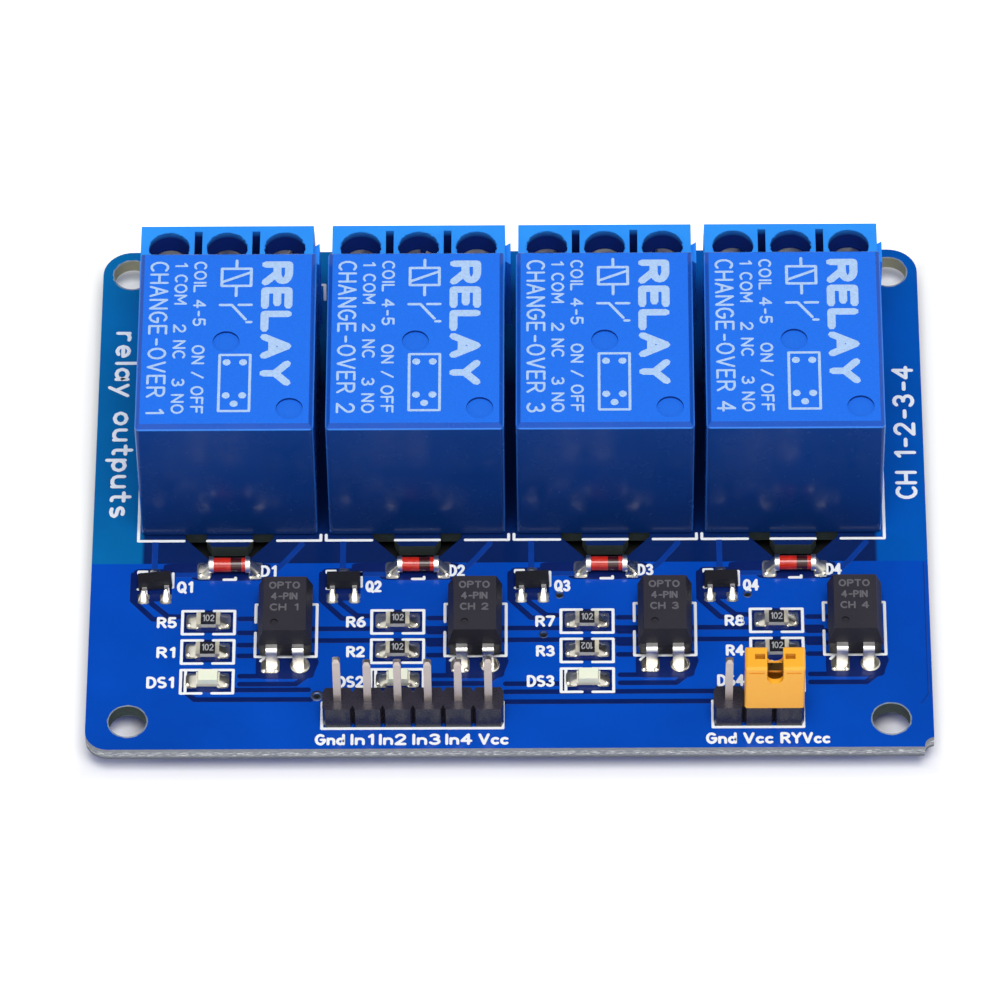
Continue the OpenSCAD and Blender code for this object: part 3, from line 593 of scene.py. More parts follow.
def relay_plastic(look):
    """PBT relay case, injection moulded in a tool that is etched on top and polished at the sides:
    the top scatters light evenly with a fine sparkle, and the sides are dark and glassy with
    smears from handling. The sides' dark colour is partly the polish and partly painted shade, darker
    still towards the board; the chamfer has a painted middle tone, a line below it and the upright
    corners have painted highlights, and the recess floors have painted shade."""
    material, shader, mm = finish("moulded_pbt_case", IOR=1.53, Specular_IOR_Level=0.15)
    x, _, z = add("ShaderNodeSeparateXYZ", {0: mm}).node.outputs
    up = upward(mm)
    top = ramp(up, 0.75, 0.95, smooth=True)
    # painted shade: the chamfer round the top takes a middle blue between the lit top and the shaded sides
    painted_bevel_shade = ramp(up, 0.2, 0.6, smooth=True)
    etched = noise(mm, 9.0, 3.0, 0.7)
    speckle = ramp(etched, 0.3, 0.7, 0.9, 1.1)
    matt = scaled(look.top[:3], speckle)
    # painted shade: the floors of the round gate recesses are painted a little darker, so they look deeper
    painted_recess_shade = ramp(z, RELAY_TOP - 0.2, RELAY_TOP - 0.02, 0.94, 1.0)
    matt = scaled(matt, painted_recess_shade)
    # painted shade: the polished sides darken towards the board
    low = ramp(z, BOARD_TOP, RELAY_TOP, 0.75, 1.15)
    side_dust_and_shade = scaled(look.side[:3], low)
    # dust: specks 0.1 mm across on the polished sides
    dust = noise(mm, 3.4, 2.0)
    dust = ramp(dust, 0.68, 0.76, 0.0, 0.4)
    side_dust_and_shade = blend(dust, side_dust_and_shade, ink("#4a78c4"))
    # painted highlights: a light line below the chamfer, and at the upright corners
    line = apart(z, RELAY_TOP - 0.42)
    line = ramp(line, 0.11, 0.05, 0.0, 0.9, smooth=True)
    pitch, half = CHANNELS[1] - CHANNELS[0], (RELAY_BOXES[0][1][0] - RELAY_BOXES[0][0][0]) / 2
    off = calc("SUBTRACT", x, CHANNELS[0] - pitch / 2)
    off = calc("MODULO", off, pitch)
    off = apart(off, pitch / 2)
    painted_corner_highlight = ramp(off, half - 0.16, half - 0.06, 0.0, 0.55, smooth=True)
    line = calc("MAXIMUM", line, painted_corner_highlight)
    # painted shade on the chamfer, and painted highlights on the line below it and at the upright corners
    rim = blend(painted_bevel_shade, side_dust_and_shade, ink("#1552ba"))
    rim = blend(line, rim, ink("#3f8cf6"))
    feed(shader, "Base Color", blend(top, rim, matt))
    smear = noise(mm, 0.4, 4.0)
    smear = ramp(smear, 0.4, 0.65, 0.16, 0.3)
    feed(shader, "Roughness", add("ShaderNodeMix", {0: top, 2: smear, 3: 0.5}))
    depth = calc("MULTIPLY", etched, top)
    feed(shader, "Normal", dented(depth, 0.02, 0.5))
    return material


def terminal_plastic(look):
    """Moulded polyamide of the terminal housings: a satin blue with flow marks. Inside the wells and the
    slots the colour is painted darker with depth as shade, because light comes out only after many bounces."""
    material, shader, mm = finish("moulded_polyamide", IOR=1.53, Specular_IOR_Level=0.1)
    x, y, z = add("ShaderNodeSeparateXYZ", {0: mm}).node.outputs
    flow = noise(mm, 0.35, 3.0)
    shell = blend(flow, look.body, ink("#2a8cf8"))
    low, high = node_box("terminal_housing_1")
    deep = ramp(z, HOUSING_TOP - 0.04, HOUSING_TOP - 0.75)
    # how far off the middle screw of the nearest housing
    centres = [(box[0] + box[1]) / 2 for box in SCREW_BOXES]
    off = 1000.0
    for middle in centres[1::3]:
        near = apart(x, middle[0])
        off = calc("MINIMUM", off, near)
    # the wells stand over the screws, and the slots half way between them, closed at the back
    pole = centres[1][0] - centres[0][0]
    side = apart(off, pole)
    side = calc("MINIMUM", side, off)
    back = calc("SUBTRACT", y, centres[0][1])
    spot = add("ShaderNodeCombineXYZ", {0: side, 1: back})
    spot = add("ShaderNodeVectorMath", {0: spot}, out="Value", operation="LENGTH")
    well_reach, slot_reach = 1.95, 0.37
    inner = calc("LESS_THAN", spot, well_reach)
    slot = calc("COMPARE", off, pole / 2, slot_reach)
    along = calc("COMPARE", y, (low[1] + high[1] - 0.85) / 2, (high[1] - low[1] - 3.0) / 2)
    slot = calc("MULTIPLY", slot, along)
    inner = calc("MAXIMUM", inner, slot)
    deep = calc("MULTIPLY", deep, inner)
    # painted shade: deeper in the wells and slots the colour darkens
    feed(shader, "Base Color", blend(deep, shell, look.painted_cavity_shade))
    fine = noise(mm, 7.0, 2.0)
    rough = ramp(fine, 0.3, 0.7, 0.38, 0.5)
    feed(shader, "Roughness", add("ShaderNodeMix", {0: deep, 2: rough, 3: 0.95}))
    feed(shader, "Normal", dented(fine, 0.02, 0.5))
    return material


def diode_glass(look):
    """Glass sealed diode: the lead glass is red-orange from the oxide on the leads sealed into it, with a
    painted dark band near one end."""
    material, shader, mm = finish("leaded_glass", IOR=1.52, Roughness=0.12)
    x = add("ShaderNodeSeparateXYZ", {0: mm})
    pitch = CHANNELS[1] - CHANNELS[0]
    local = calc("MODULO", calc("SUBTRACT", x, CHANNELS[0] - pitch / 2), pitch)
    off = apart(local, pitch / 2 + 0.66)
    band = ramp(off, 0.50, 0.42, smooth=True)
    cloud = noise(mm, 1.8, 2.0)
    glow = blend(cloud, look.glass, ink("#a01c0c"))
    feed(shader, "Base Color", blend(band, glow, ink("#3c0c0a")))
    return material


def lamp_resin(look):
    """Milky epoxy lens of a chip lamp: it looks pale and a little green, under a clear glossy skin."""
    material, shader, mm = finish("milky_epoxy", IOR=1.5, Roughness=0.25, Coat_Weight=0.4, Coat_Roughness=0.1)
    cloud = noise(mm, 1.2, 1.0)
    feed(shader, "Base Color", blend(cloud, look.lens, ink("#eaf6dc")))
    return material


def chip_ceramic(look):
    """Thick film resistor: a white alumina block under a black glass glaze."""
    material, shader, mm = finish("glazed_alumina", IOR=1.6)
    z = add("ShaderNodeSeparateXYZ", {0: mm}, 2)
    top = node_box("resistor_chips")[1][2]
    glaze = ramp(z, top - 0.09, top - 0.07)
    grain = noise(mm, 8.0, 2.0)
    white = blend(grain, ink("#e4e2dc"), ink("#c9c8c4"))
    black = blend(grain, look.ceramic, ink("#2a2b31"))
    feed(shader, "Base Color", blend(glaze, white, black))
    feed(shader, "Roughness", ramp(glaze, low=0.6, high=0.25))
    return material


def enamelled_wire(name):
    """Copper winding wire under clear enamel: waves 0.3 mm apart up the coil stand for the round turns."""
    material, shader, mm = finish(name, Metallic=1.0, Roughness=0.3, Base_Color=ink("#b5613a"))
    z = add("ShaderNodeSeparateXYZ", {0: mm}, 2)
    turns = calc("MULTIPLY", z, 2 * math.pi / 0.3)
    turns = calc("SINE", turns)
    feed(shader, "Normal", dented(turns, 0.05, 0.8))
    return material


# ---- operators ----


class RELAYBOARD_OT_board(bpy.types.Operator):
    """Finishes the board and its solder"""

    bl_idname = "relayboard.board"
    bl_label = "Board and solder"

    def execute(self, context):
        look = context.scene.board_look
        dress(coated_board(look), "board")
        dress(plain_metal("wave_solder", context.scene.driver_look.solder, 0.24, 3.0, 0.03),
              "solder_joints")
        return {"FINISHED"}


class RELAYBOARD_OT_copper(bpy.types.Operator):
    """Lays out the copper that shows through the mask, and the gaps etched between it"""

    bl_idname = "relayboard.copper"
    bl_label = "Tracks and gaps"

    def execute(self, context):
        look = context.scene.board_look
        wide, thin = look.gap_width / MM, look.track_width / MM
        gap = mask_tone("mask_over_gap", look.gap)
        pour = mask_tone("mask_over_track", look.track)
        top = BOARD_TOP
        # dark fields round the parts, where the copper is etched away
        fields = []
        for x in CHANNELS:
            fields += [(x - 1.0, -7.95, 4.6, 0.52), (x - 6.5, -9.75, 1.7, 1.75), (x + 0.1, -8.35, 3.3, 0.95)]
            fields += [(x + CHIP_X, y, 2.28, 1.2) for y in CHIP_ROWS]
            fields += [(x + OPTO_X, -18.45, 2.5, 1.35)]
        fields = np.array(fields)
        dark = joined([domes(fields[:, :2], fields[:, 2:], top, 0.008, power=7.0, fall=0.05, rings=3)])
        new_piece("etched_fields", *dark, gap, "solder_mask", smooth=False)
        # gaps of one channel, then the long ones
        runs = [
            [(-8.13, -8.6), (-8.13, -11.4), (-6.35, -13.4), (-5.2, -13.45)],
            [(-6.95, -11.0), (-6.45, -11.8), (-5.1, -13.1), (-4.1, -13.15)],
            [(1.2, -19.5), (5.3, -19.5)],
            [(1.2, -20.35), (5.9, -20.35), (7.25, -19.1), (7.6, -18.0), (7.3, -17.2)],
            [(1.06, -13.4), (2.6, -13.4)], [(1.06, -14.9), (2.6, -14.9)],
            [(1.06, -16.2), (2.6, -16.2)], [(1.06, -17.35), (2.6, -17.35)],
        ]
        lines = per_channel(runs)
        long_runs = [
            [(-17.0, -14.5), (26.5, -14.5)], [(-17.0, -15.75), (26.5, -15.75)],
            [(-27.6, -20.9), (-26.6, -21.95), (-16.8, -21.98)], [(-25.6, -20.95), (-17.0, -20.95)],
            [(-0.3, -20.4), (4.6, -20.4)], [(-0.3, -21.25), (17.3, -21.25)], [(-0.3, -22.3), (17.3, -22.3)],
        ]
        lines = np.concatenate([lines] + [chain(run) for run in long_runs])
        new_piece("etched_gaps", *strokes(lines, wide, top, 0.01), gap, "solder_mask", smooth=False)
        # single tracks, brighter than the field that they cross
        runs = [
            [(-6.35, -5.0), (-6.35, -8.0)],
            [(-4.85, -8.66), (-2.6, -8.66)],
            [(6.2, -5.4), (4.8, -7.3), (3.5, -8.7), (2.6, -8.8)],
        ]
        lines = per_channel(runs)
        widths = np.full(len(lines), thin)
        # partly painted highlight: a thin bright line along the right edge, where the copper under the mask ends
        side = chain([(35.4, -7.6), (35.4, -21.6), (34.8, -22.6)])
        lines = np.concatenate([lines, side])
        widths = np.concatenate([widths, np.full(len(side), 0.12)])
        new_piece("single_tracks", *strokes(lines, widths, top, 0.02), pour, "solder_mask", smooth=False)
        # wide tinned tracks under the board, from each relay contact to its terminal
        under = BOARD_LOW[2]
        runs = [
            [(-6.0, 12.26), (-6.0, 14.6), (-5.0, 16.61)], [(0.0, -2.04), (0.0, 14.6), (0.0, 16.61)],
            [(6.0, 12.26), (6.0, 14.6), (5.0, 16.61)],
        ]
        lines = per_channel(runs)
        new_piece("load_tracks", *strokes(lines, 2.6, under, -0.05, corners=10),
                  plain_metal("tinned_copper", context.scene.driver_look.solder, 0.3, 1.2, 0.06),
                  "solder")
        return {"FINISHED"}


class RELAYBOARD_OT_print(bpy.types.Operator):
    """Prints outlines and names on the board"""

    bl_idname = "relayboard.print"
    bl_label = "Board print"

    def execute(self, context):
        look = context.scene.print_look
        white = screen_ink("white_epoxy_ink", look.white, 0.96)
        line, stroke, thick = look.line / MM, look.stroke / MM, look.thickness / MM
        top = BOARD_TOP + 0.012
        # outlines of one channel
        runs = [
            [(-7.82, -5.0), (-3.9, -5.0)], [(-1.9, -5.0), (1.9, -5.0)], [(4.1, -5.0), (7.82, -5.0)],
            [(-7.82, -5.0), (-7.82, -4.4)], [(7.82, -5.0), (7.82, -4.4)],
            [(-0.4, -9.2), (0.6, -9.2), (0.6, -9.0)],
            [(-7.7, -8.5), (-7.7, -8.3), (-7.0, -8.3)], [(-7.7, -10.2), (-7.4, -10.2)],
            [(-4.75, -8.5), (-4.75, -10.0)],
        ]
        for y in CHIP_ROWS:
            for s in (-1, 1):
                runs.append([(CHIP_X + s * 0.45, y + 1.12), (CHIP_X + s * 2.22, y + 1.12),
                             (CHIP_X + s * 2.22, y - 1.34), (CHIP_X + s * 0.45, y - 1.34)])
        y = CHIP_ROWS[2]
        runs.append([(CHIP_X - 1.82, y + 1.0), (CHIP_X - 1.82, y - 1.2)])
        left, right, low, high = OPTO_X - 2.58, OPTO_X + 2.62, -17.45, -11.9
        runs += [
            [(left + 0.3, high), (left, high), (left, -13.8)], [(left, -14.9), (left, low), (right, low)],
            [(right, low), (right, high), (right - 0.4, high)], [(right - 1.4, -17.9), (right - 0.95, -17.75)],
            [(left + 0.5, -17.9), (left + 0.75, -17.65)],
        ]
        lines = per_channel(runs)
        outer = [
            [(-15.8, -22.3), (-15.8, -25.05), (-0.53, -25.05), (-0.53, -22.3), (-15.8, -22.3)],
            [(17.16, -22.3), (17.16, -25.05), (24.8, -25.05), (24.8, -22.3), (17.16, -22.3)],
            [(-16.99, 23.40), (-16.25, 23.39), (-16.22, 21.69)],
            [(CHANNELS[0] - 7.82, -5.0), (CHANNELS[0] - 7.82, 14.4)],
            [(CHANNELS[3] + 7.82, -5.0), (CHANNELS[3] + 7.82, 14.4)],
        ]
        lines = np.concatenate([lines] + [chain(run) for run in outer])
        new_piece("printed_outlines", *strokes(lines, line, top, thick), white, "solder_mask", smooth=False)
        # names
        words = []
        for i, x in enumerate(CHANNELS):
            words += [
                written(f"Q{i + 1}", (x - 3.7, -9.98), 1.02, 1.15),
                written(f"D{i + 1}", (x + 3.4, -8.3), 1.02, 1.15),
                written(f"R{i + 5}", (x - 5.15, -13.78), 0.95, 1.45),
                written(f"R{i + 1}", (x - 5.15, -16.95), 0.95, 1.35),
                written(f"DS{i + 1}", (x - 5.55, -20.13), 1.0, 2.1),
            ]
        labels = (("Gnd", -15.1, 2.3), ("In1", -12.4, 1.8), ("In2", -9.84, 2.15), ("In3", -7.0, 2.2),
                  ("In4", -4.27, 2.1), ("Vcc", -1.33, 2.3), ("Gnd", 17.84, 2.35), ("Vcc", 20.95, 2.3),
                  ("RYVcc", 24.9, 3.95))
        for word, x, wide in labels:
            words.append(written(word, (x, -26.2), 0.95, wide))
        words.append(written("relay outputs", (-33.4, 7.85), 1.75, 20.3, turn=-math.pi / 2))
        words.append(written("CH 1-2-3-4", (34.15, 6.6), 1.6, 14.4, turn=math.pi / 2))
        widths = np.concatenate([np.full(len(word), stroke) for word in words[:-2]]
                                + [np.full(len(word), look.bold / MM) for word in words[-2:]])
        new_piece("printed_names", *strokes(np.concatenate(words), widths, top, thick, corners=4), white,
                  "solder_mask", smooth=False)
        return {"FINISHED"}


class RELAYBOARD_OT_solder(bpy.types.Operator):
    """Tins the pads and draws solder up the parts"""

    bl_idname = "relayboard.solder"
    bl_label = "Pads and solder"

    def execute(self, context):
        tin = plain_metal("reflowed_tin", context.scene.driver_look.solder, 0.3, 2.0, 0.012)
        base = BOARD_TOP + 0.015
        pads, feet, headings, high = [], [], [], []
        for x in CHANNELS:
            for y in CHIP_ROWS:
                for s in (-1, 1):
                    pads.append((x + CHIP_X + s * 1.35, y, 0.55, 0.8))
                    feet.append((x + CHIP_X + s * 0.98 + (0.1 if y == CHIP_ROWS[2] else 0), y - 0.05))
                    headings.append(0.0 if s > 0 else math.pi)
                    high.append(0.5 if y != CHIP_ROWS[2] else 0.42)
            pads += [(x + 0.1 + s * 2.2, -8.25, 0.62, 0.9) for s in (-1, 1)]
            pads += [(x - 7.2, -11.0, 0.5, 0.3), (x - 5.3, -11.0, 0.5, 0.3), (x - 6.26, -8.55, 0.45, 0.5)]
            pads += [(x + OPTO_X - 1.27, -18.4, 0.8, 0.8)]
        pads = np.array(pads)
        shapes = [domes(pads[:, :2], pads[:, 2:], base, 0.05, power=5.0, fall=0.12, rings=4)]
        round_pads = [(x + OPTO_X + 1.27, -18.4) for x in CHANNELS]
        shapes.append(domes(round_pads, (0.83, 0.83), base, 0.05, fall=0.12, rings=4))
        new_piece("tinned_pads", *joined(shapes), tin, "solder")
        shapes = []
        feet, headings, high = np.array(feet), np.array(headings), np.array(high)
        for height in (0.5, 0.42):
            pick = high == height
            shapes.append(fillets(feet[pick], headings[pick], 0.82, 0.66, height, base + 0.02))
        for s in (-1, 1):
            ends = [(x + 0.1 + s * 1.7, -8.19) for x in CHANNELS]
            shapes.append(fillets(ends, [0.0 if s > 0 else math.pi] * 4, 1.0, 0.72, 1.15, base + 0.02))
        # beads where solder gathers: at the corners of the left pads, and round the round ones
        beads = [(x + OPTO_X - 1.27 + s * 0.52, -18.95, 0.24) for x in CHANNELS for s in (-1, 1)]
        beads += [(x + CHIP_X + s * 1.62, y - 0.42, 0.22) for x in CHANNELS for y in CHIP_ROWS for s in (-1, 1)]
        beads += [(x + 0.1 + s * 2.45, -8.72, 0.26) for x in CHANNELS for s in (-1, 1)]
        beads = np.array(beads)
        shapes.append(domes(beads[:, :2], beads[:, 2:], base + 0.03, 0.17, fall=0.55, rings=5, around=14))
        shapes.append(rings(round_pads, 0.6, 0.24, base + 0.04, 0.12))
        # solder drawn up the transistors' leads: two in front and one behind
        low, high = node_box("transistor_leads")
        middles = [x + TRANSISTOR_X for x in CHANNELS]
        for s in (-1, 1):
            toes = [(x + s * 0.95, low[1] + 0.45) for x in middles]
            shapes.append(fillets(toes, [-math.pi / 2] * 4, 1.15, 0.56, 0.5, base + 0.02, spread=0.4))
        heels = [(x, high[1] - 0.45) for x in middles]
        shapes.append(fillets(heels, [math.pi / 2] * 4, 0.8, 0.48, 0.42, base + 0.02))
        new_piece("solder_fillets", *joined(shapes), tin, "solder")
        # bare laminate left round the drilled holes, and the rings of the open plated ones
        pale = mask_tone("bare_laminate", ink("#7d8c9c"))
        new_piece("hole_rims", *rings(MOUNTING_HOLES, 1.6, 0.12, BOARD_TOP, 0.02, wobble=0.2), pale, "solder_mask")
        small = [(20.29, -10.95), (4.27, -10.98), (2.90, -15.19)]
        dull = plain_metal("oxidised_tin", ink("#5a6480"), 0.5, 4.0, 0.01)
        new_piece("via_rings", *joined([rings(small, 0.25, 0.14, base, 0.02),
                                        rings([(-16.25, -21.6)], 0.25, 0.3, base, 0.05)]), dull, "solder")
        return {"FINISHED"}


# line work on the relay tops: the coil, a contact and the frame round the places of the pins
SYMBOLS = (
    ([(0.75, 13.8), (0.75, 12.9)], 0.26),
    ([(-0.5, 12.9), (2.0, 12.9), (2.0, 11.0), (-0.5, 11.0), (-0.5, 12.9)], 0.26),
    ([(-0.5, 11.4), (2.0, 12.5)], 0.26),
    ([(0.75, 11.0), (0.75, 9.9)], 0.26),
    ([(-0.6, 8.9), (0.4, 8.9), (1.6, 7.3)], 0.26),
    ([(1.0, 8.9), (2.1, 8.9)], 0.26),
    ([(1.7, 7.0), (2.1, 7.0)], 0.26),
    ([(-0.5, 3.4), (2.1, 3.4), (2.1, -2.7), (-0.5, -2.7), (-0.5, 3.4)], 0.24),
)


class RELAYBOARD_OT_relays(bpy.types.Operator):
    """Finishes the relays inside and out and prints their tops"""

    bl_idname = "relayboard.relays"
    bl_label = "Relays"

    def execute(self, context):
        look = context.scene.relay_look
        dress(relay_plastic(look), *(f"relay_case_{i}" for i in range(1, 5)))
        dress(moulded("moulded_pbt_base", ink("#12336f"), ink("#0d2758"), 0.35, 6.0, 0.02), "relay_bases")
        dress(moulded("nylon_bobbin", ink("#e8e4d8"), ink("#d8d2c0"), 0.45, 5.0, 0.02), "relay_bobbins")
        dress(plain_metal("galvanised_iron", ink("#a9aaac"), 0.4, 4.0, 0.03), "relay_yokes",
              *(f"relay_armature_{i}" for i in range(1, 5)))
        dress(enamelled_wire("enamelled_copper"), "relay_windings")
        dress(plain_metal("contact_brass", ink("#c7a565"), 0.28, 6.0, 0.01), "relay_pins", "jumper_clip")
        marks = screen_ink("pale_pad_print", look.marks, 0.82)
        lines, widths, dots = [], [], []

        def mark(run, width):
            segments = chain(run)
            lines.append(segments)
            widths.append(np.full(len(segments), width))

        for i, x in enumerate(CHANNELS):
            # names of the contacts and the coil, read from the terminals to the front
            turn = -math.pi / 2
            for text, left, cap, wide, width in (
                (f"CHANGE-OVER {i + 1}", -5.85, 1.42, 16.5, 0.22), ("1 COM   2 NC   3 NO", -3.98, 0.95, 16.5, 0.19),
                ("COIL 4-5   ON / OFF", -2.35, 0.95, 16.5, 0.19), ("RELAY", 4.23, 2.0, 13.0, 0.7),
            ):
                row = written(text, (x + left, 5.37 if wide > 14 else 6.86), cap, wide, turn)
                lines.append(row)
                widths.append(np.full(len(row), width))
            for run, width in SYMBOLS:
                mark(np.add(run, (x, 0)), width)
            dots += [(x + 0.8, -1.9), (x + 0.1, -1.0), (x + 1.5, -1.0), (x + 0.1, 2.6), (x + 1.5, 2.6)]
        shapes = [strokes(np.concatenate(lines), np.concatenate(widths), RELAY_TOP, 0.015, corners=4)]
        shapes.append(domes(dots, (0.34, 0.34), RELAY_TOP, 0.015, fall=0.05, rings=3, around=16))
        new_piece("relay_marks", *joined(shapes), marks, "relay_plastic", smooth=False)
        return {"FINISHED"}


class RELAYBOARD_OT_terminals(bpy.types.Operator):
    """Finishes the screw terminals"""

    bl_idname = "relayboard.terminals"
    bl_label = "Screw terminals"

    def execute(self, context):
        look = context.scene.terminal_look
        body = terminal_plastic(look)
        dress(body, *(f"terminal_housing_{i}" for i in range(1, 5)))
        dress(plain_metal("nickel_plate", look.screw, 0.42, 5.0, 0.02),
              *(f"terminal_screw_{n}" for n in range(1, 13)))
        dress(plain_metal("zinc_plate", ink("#b9bcc2"), 0.32, 5.0, 0.02),
              *(f"terminal_cage_{n}" for n in range(1, 13)))
        dress(plain_metal("tin_plate", ink("#d6d4d2"), 0.36, 5.0, 0.01), "terminal_bars", "optocoupler_leads",
              "diode_caps", "transistor_leads")
        dress(plain_metal("matt_tin_plate", ink("#e6e0cc"), 0.6, 5.0, 0.01), "resistor_caps")
        wells = [((low[0] + high[0]) / 2, (low[1] + high[1]) / 2) for low, high in SCREW_BOXES]
        shape = rings(wells, 1.84, -look.flash / MM, HOUSING_TOP - 0.03, 0.08, around=120, wobble=0.5, seed=3)
        new_piece("well_flash", *shape, body, "terminal_plastic")
        return {"FINISHED"}


class RELAYBOARD_OT_drivers(bpy.types.Operator):
    """Finishes optocouplers, diodes, transistors, resistors and lamps"""

    bl_idname = "relayboard.drivers"
    bl_label = "Driver parts"

    def execute(self, context):
        look = context.scene.driver_look
        # the epoxy's walls are painted half as bright, as shade
        epoxy = moulded("moulded_epoxy", look.moulding, ink("#28262f"), 0.5, 9.0, 0.03, IOR=1.55,
                        sides=0.5, Specular_IOR_Level=0.3)
        dress(epoxy, "optocoupler_bodies")
        dress(moulded("moulded_black_epoxy", ink("#1b1a1e"), ink("#141317"), 0.4, 9.0, 0.03, IOR=1.55,
                      Specular_IOR_Level=0.35), "transistor_bodies")
        dress(diode_glass(look), "diode_glasses")
        dress(chip_ceramic(look), "resistor_chips")
        dress(moulded("lamp_ceramic", ink("#f0ecdf"), ink("#e4dfc8"), 0.5, 6.0, 0.02), "led_bases")
        dress(lamp_resin(look), "led_lenses")
        # values on the resistors
        digits = []
        height = node_box("resistor_chips")[1][2]
        for i, x in enumerate(CHANNELS):
            for row in (0, 1):
                turn = math.pi if (i, row) == (2, 1) else 0.0
                digits.append(written("102", (x + CHIP_X, CHIP_ROWS[row]), 0.62, 0.95, turn))
        new_piece("resistor_values", *strokes(np.concatenate(digits), 0.1, height, 0.008, corners=4),
                  screen_ink("resistor_print", ink("#a9aaad"), 0.9), "chip_ceramic", smooth=False)
        # laser marks on the optocouplers: three faint rows
        top = node_box("optocoupler_bodies")[1][2]
        rows = np.concatenate([written(text, (x + OPTO_X - 0.05, y), 0.62, wide) for i, x in enumerate(CHANNELS)
                               for text, y, wide in (("OPTO", -12.55, 2.5), ("4-PIN", -13.72, 2.1),
                                                     (f"CH {i + 1}", -14.88, 2.3))])
        dots = [(x + OPTO_X - 1.12, -15.74) for x in CHANNELS]
        new_piece("first_pin_dots", *domes(dots, (0.31, 0.31), top - 0.195, 0.01, fall=0.05, rings=3), epoxy,
                  "moulding_compound", smooth=False)
        new_piece("optocoupler_marks", *strokes(rows, 0.15, top, 0.006, corners=4),
                  screen_ink("laser_mark", ink("#66646b"), 0.8), "moulding_compound", smooth=False)
        return {"FINISHED"}


class RELAYBOARD_OT_headers(bpy.types.Operator):
    """Finishes the pin headers and the jumper"""

    bl_idname = "relayboard.headers"
    bl_label = "Headers and jumper"

    def execute(self, context):
        look = context.scene.header_look
        # the header's walls are painted darker, as shade
        dress(moulded("moulded_pbt_header", look.body, ink("#2c2a36"), 0.3, 6.0, 0.02, sides=0.6, IOR=1.53),
              "header_6_body", "header_3_body")
        dress(plain_metal("tinned_brass_pin", look.pin, 0.42, 5.0, 0.006), "header_pins")
        dress(moulded("moulded_jumper", look.jumper, ink("#ffb02e"), 0.32, 5.0, 0.02, IOR=1.53),
              "jumper_cap")
        return {"FINISHED"}


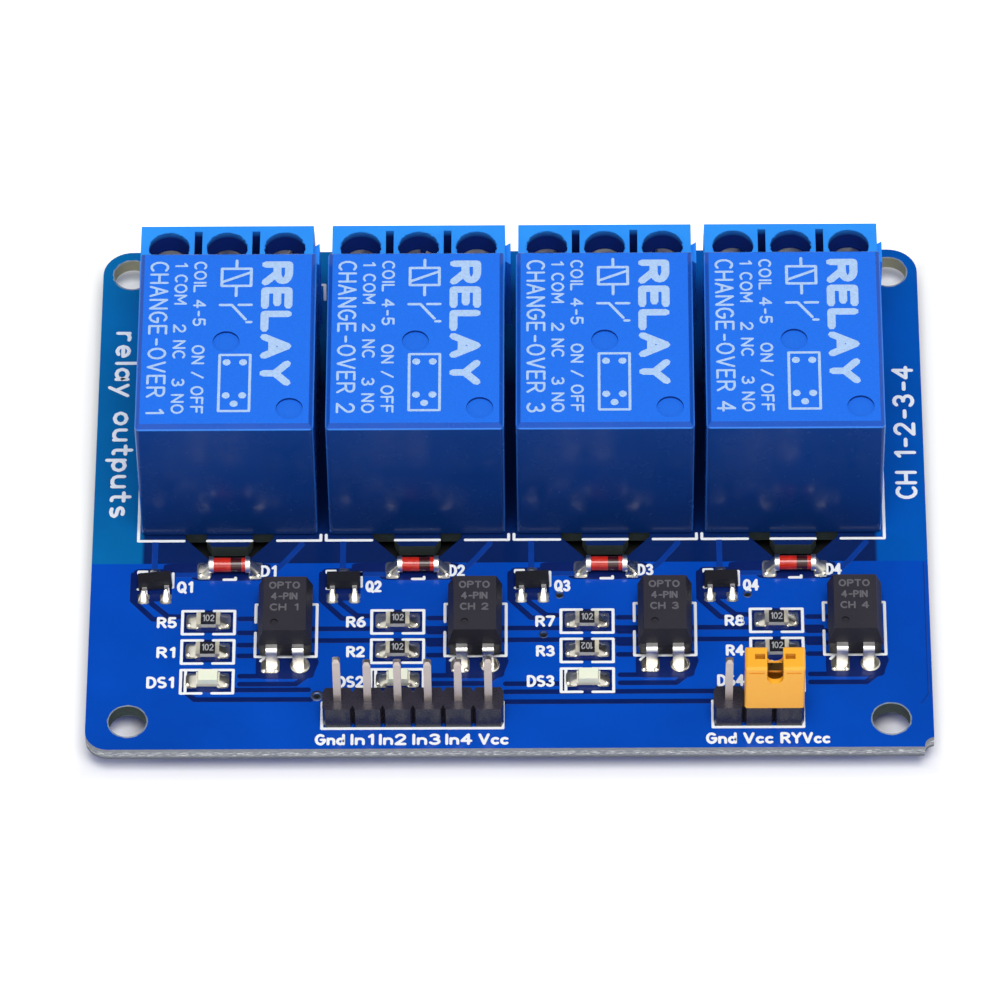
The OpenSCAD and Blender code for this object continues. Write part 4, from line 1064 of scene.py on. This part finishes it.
class RELAYBOARD_OT_stage(bpy.types.Operator):
    """Sets up the floor, the lamps and the camera"""

    bl_idname = "relayboard.stage"
    bl_label = "Stage"

    def execute(self, context):
        look = context.scene.stage_look
        scene = context.scene
        # floor: matt white, and a little brighter to the camera so that it reads as white
        material = bpy.data.materials.new("white_card")
        material.use_nodes = True
        tree = material.node_tree
        shader = tree.nodes["Principled BSDF"]
        shader.inputs["Roughness"].default_value = 1.0
        shader.inputs["Specular IOR Level"].default_value = 0.0
        seen = add("ShaderNodeLightPath", {}, "Is Camera Ray", tree)
        # none of that under the board and close round it, so the shadow there stays dark
        where = add("ShaderNodeTexCoord", {}, "Object", tree)
        off = add("ShaderNodeVectorMath", {0: where}, operation="ABSOLUTE")
        off = add("ShaderNodeVectorMath", {0: off, 1: tuple(BOARD_HIGH * MM)}, operation="SUBTRACT")
        off_x, off_y = add("ShaderNodeSeparateXYZ", {0: off}).node.outputs[:2]
        off = calc("MAXIMUM", off_x, off_y)
        fade = ramp(off, -0.0005, 0.006, 0.0, 0.6, smooth=True)
        # painted shadow: the floor's middle under the board, seen through the slots, is painted dark
        painted_floor_shadow = ramp(off, -0.001, -0.009, smooth=True)
        feed(shader, "Base Color", blend(painted_floor_shadow, look.floor, ink("#2b2d2c")))
        lift = calc("MULTIPLY", seen, fade)
        shader.inputs["Emission Color"].default_value = (1.0, 1.0, 1.0, 1.0)
        feed(shader, "Emission Strength", lift)
        reach = 3.0
        corners = [(-reach, -reach, 0), (reach, -reach, 0), (reach, reach, 0), (-reach, reach, 0)]
        mesh = bpy.data.meshes.new("floor")
        mesh.from_pydata(corners, [], [(0, 1, 2, 3)])
        mesh.materials.append(material)
        floor = bpy.data.objects.new("floor", mesh)
        scene.collection.objects.link(floor)
        # world: white to the camera and in reflections, dim as a light
        world = bpy.data.worlds.new("room")
        scene.world = world
        world.use_nodes = True
        tree = world.node_tree
        path = add("ShaderNodeLightPath", {}, tree=tree).node
        heading = add("ShaderNodeTexCoord", {}, "Generated", tree)
        # reflections: a white room with a dark panel above and behind the board
        panel = add("ShaderNodeVectorMath", {0: heading, 1: (0.0, 0.6, 0.8)}, out="Value", operation="DOT_PRODUCT")
        room = ramp(panel, 0.62, 0.86, 0.95, 0.0)
        room = add("ShaderNodeMix", {0: path.outputs["Is Glossy Ray"], 2: 0.34, 3: room})
        strength = add("ShaderNodeMix", {0: path.outputs["Is Camera Ray"], 2: room, 3: 1.0})
        background = tree.nodes["Background"]
        background.inputs["Color"].default_value = (1.0, 1.0, 1.0, 1.0)
        tree.links.new(strength, background.inputs["Strength"])
        # both softboxes are 0.6 m wide and face the board's middle
        for name, at, power in (
            ("overhead_softbox", (0.05, -0.3, 1.0), 8.3), ("front_softbox", (-0.25, -1.1, 0.75), 1.7),
        ):
            light = bpy.data.lights.new(name, "AREA")
            light.shape = "SQUARE"
            light.size = 0.6
            light.energy = power
            lamp = bpy.data.objects.new(name, light)
            place = Matrix.Translation(at)
            lamp.matrix_world = place @ (-place.translation).to_track_quat("-Z", "Y").to_matrix().to_4x4()
            scene.collection.objects.link(lamp)
        # camera: a long lens that looks down on the front of the board
        az, el, roll = look.azimuth, look.elevation, look.roll
        ahead = np.array([math.sin(az) * math.cos(el), math.cos(az) * math.cos(el), -math.sin(el)])
        right = np.array([math.cos(az), -math.sin(az), 0.0])
        up = np.cross(right, ahead)
        # it looks at a point a little left of and below the middle of the board's top, in millimetres
        aside, below = -0.836, -0.516
        middle = np.array([0, 0, BOARD_TOP * MM])
        place = -ahead * look.distance + (right * aside + up * below) * MM + middle
        across = right * math.cos(roll) + up * math.sin(roll)
        above = up * math.cos(roll) - right * math.sin(roll)
        data = bpy.data.cameras.new("camera")
        data.sensor_width = 36.0
        data.lens = 297.36
        camera = bpy.data.objects.new("camera", data)
        camera.matrix_world = Matrix([
            [across[0], above[0], -ahead[0], place[0]],
            [across[1], above[1], -ahead[1], place[1]],
            [across[2], above[2], -ahead[2], place[2]],
            [0, 0, 0, 1],
        ])
        scene.collection.objects.link(camera)
        scene.camera = camera
        scene.view_settings.view_transform = "Standard"
        return {"FINISHED"}


class RELAYBOARD_PT_panel(bpy.types.Panel):
    """Sizes, colours and steps of the relay board"""

    bl_label = "Relay board"
    bl_idname = "RELAYBOARD_PT_panel"
    bl_space_type = "VIEW_3D"
    bl_region_type = "UI"
    bl_category = "Relay board"

    def draw(self, context):
        for name, group in LOOKS.items():
            box = self.layout.box()
            box.label(text=group.__doc__)
            for value in group.__annotations__:
                box.prop(getattr(context.scene, name), value)
        for step in STEPS:
            self.layout.operator(step.bl_idname)


LOOKS = {
    "board_look": BoardLook, "print_look": PrintLook, "relay_look": RelayLook,
    "terminal_look": TerminalLook, "driver_look": DriverLook, "header_look": HeaderLook,
    "stage_look": StageLook,
}
STEPS = (
    RELAYBOARD_OT_stage, RELAYBOARD_OT_board, RELAYBOARD_OT_copper, RELAYBOARD_OT_print,
    RELAYBOARD_OT_solder, RELAYBOARD_OT_relays, RELAYBOARD_OT_terminals, RELAYBOARD_OT_drivers,
    RELAYBOARD_OT_headers,
)
CLASSES = (*LOOKS.values(), *STEPS, RELAYBOARD_PT_panel)


def register():
    for item in CLASSES:
        bpy.utils.register_class(item)
    for name, group in LOOKS.items():
        setattr(bpy.types.Scene, name, PointerProperty(type=group))


def unregister():
    for name in LOOKS:
        delattr(bpy.types.Scene, name)
    for item in reversed(CLASSES):
        bpy.utils.unregister_class(item)


def main():
    register()
    bpy.ops.relayboard.stage()
    bpy.ops.relayboard.board()
    bpy.ops.relayboard.copper()
    bpy.ops.relayboard.print()
    bpy.ops.relayboard.solder()
    bpy.ops.relayboard.relays()
    bpy.ops.relayboard.terminals()
    bpy.ops.relayboard.drivers()
    bpy.ops.relayboard.headers()


if __name__ == "__main__":
    main()
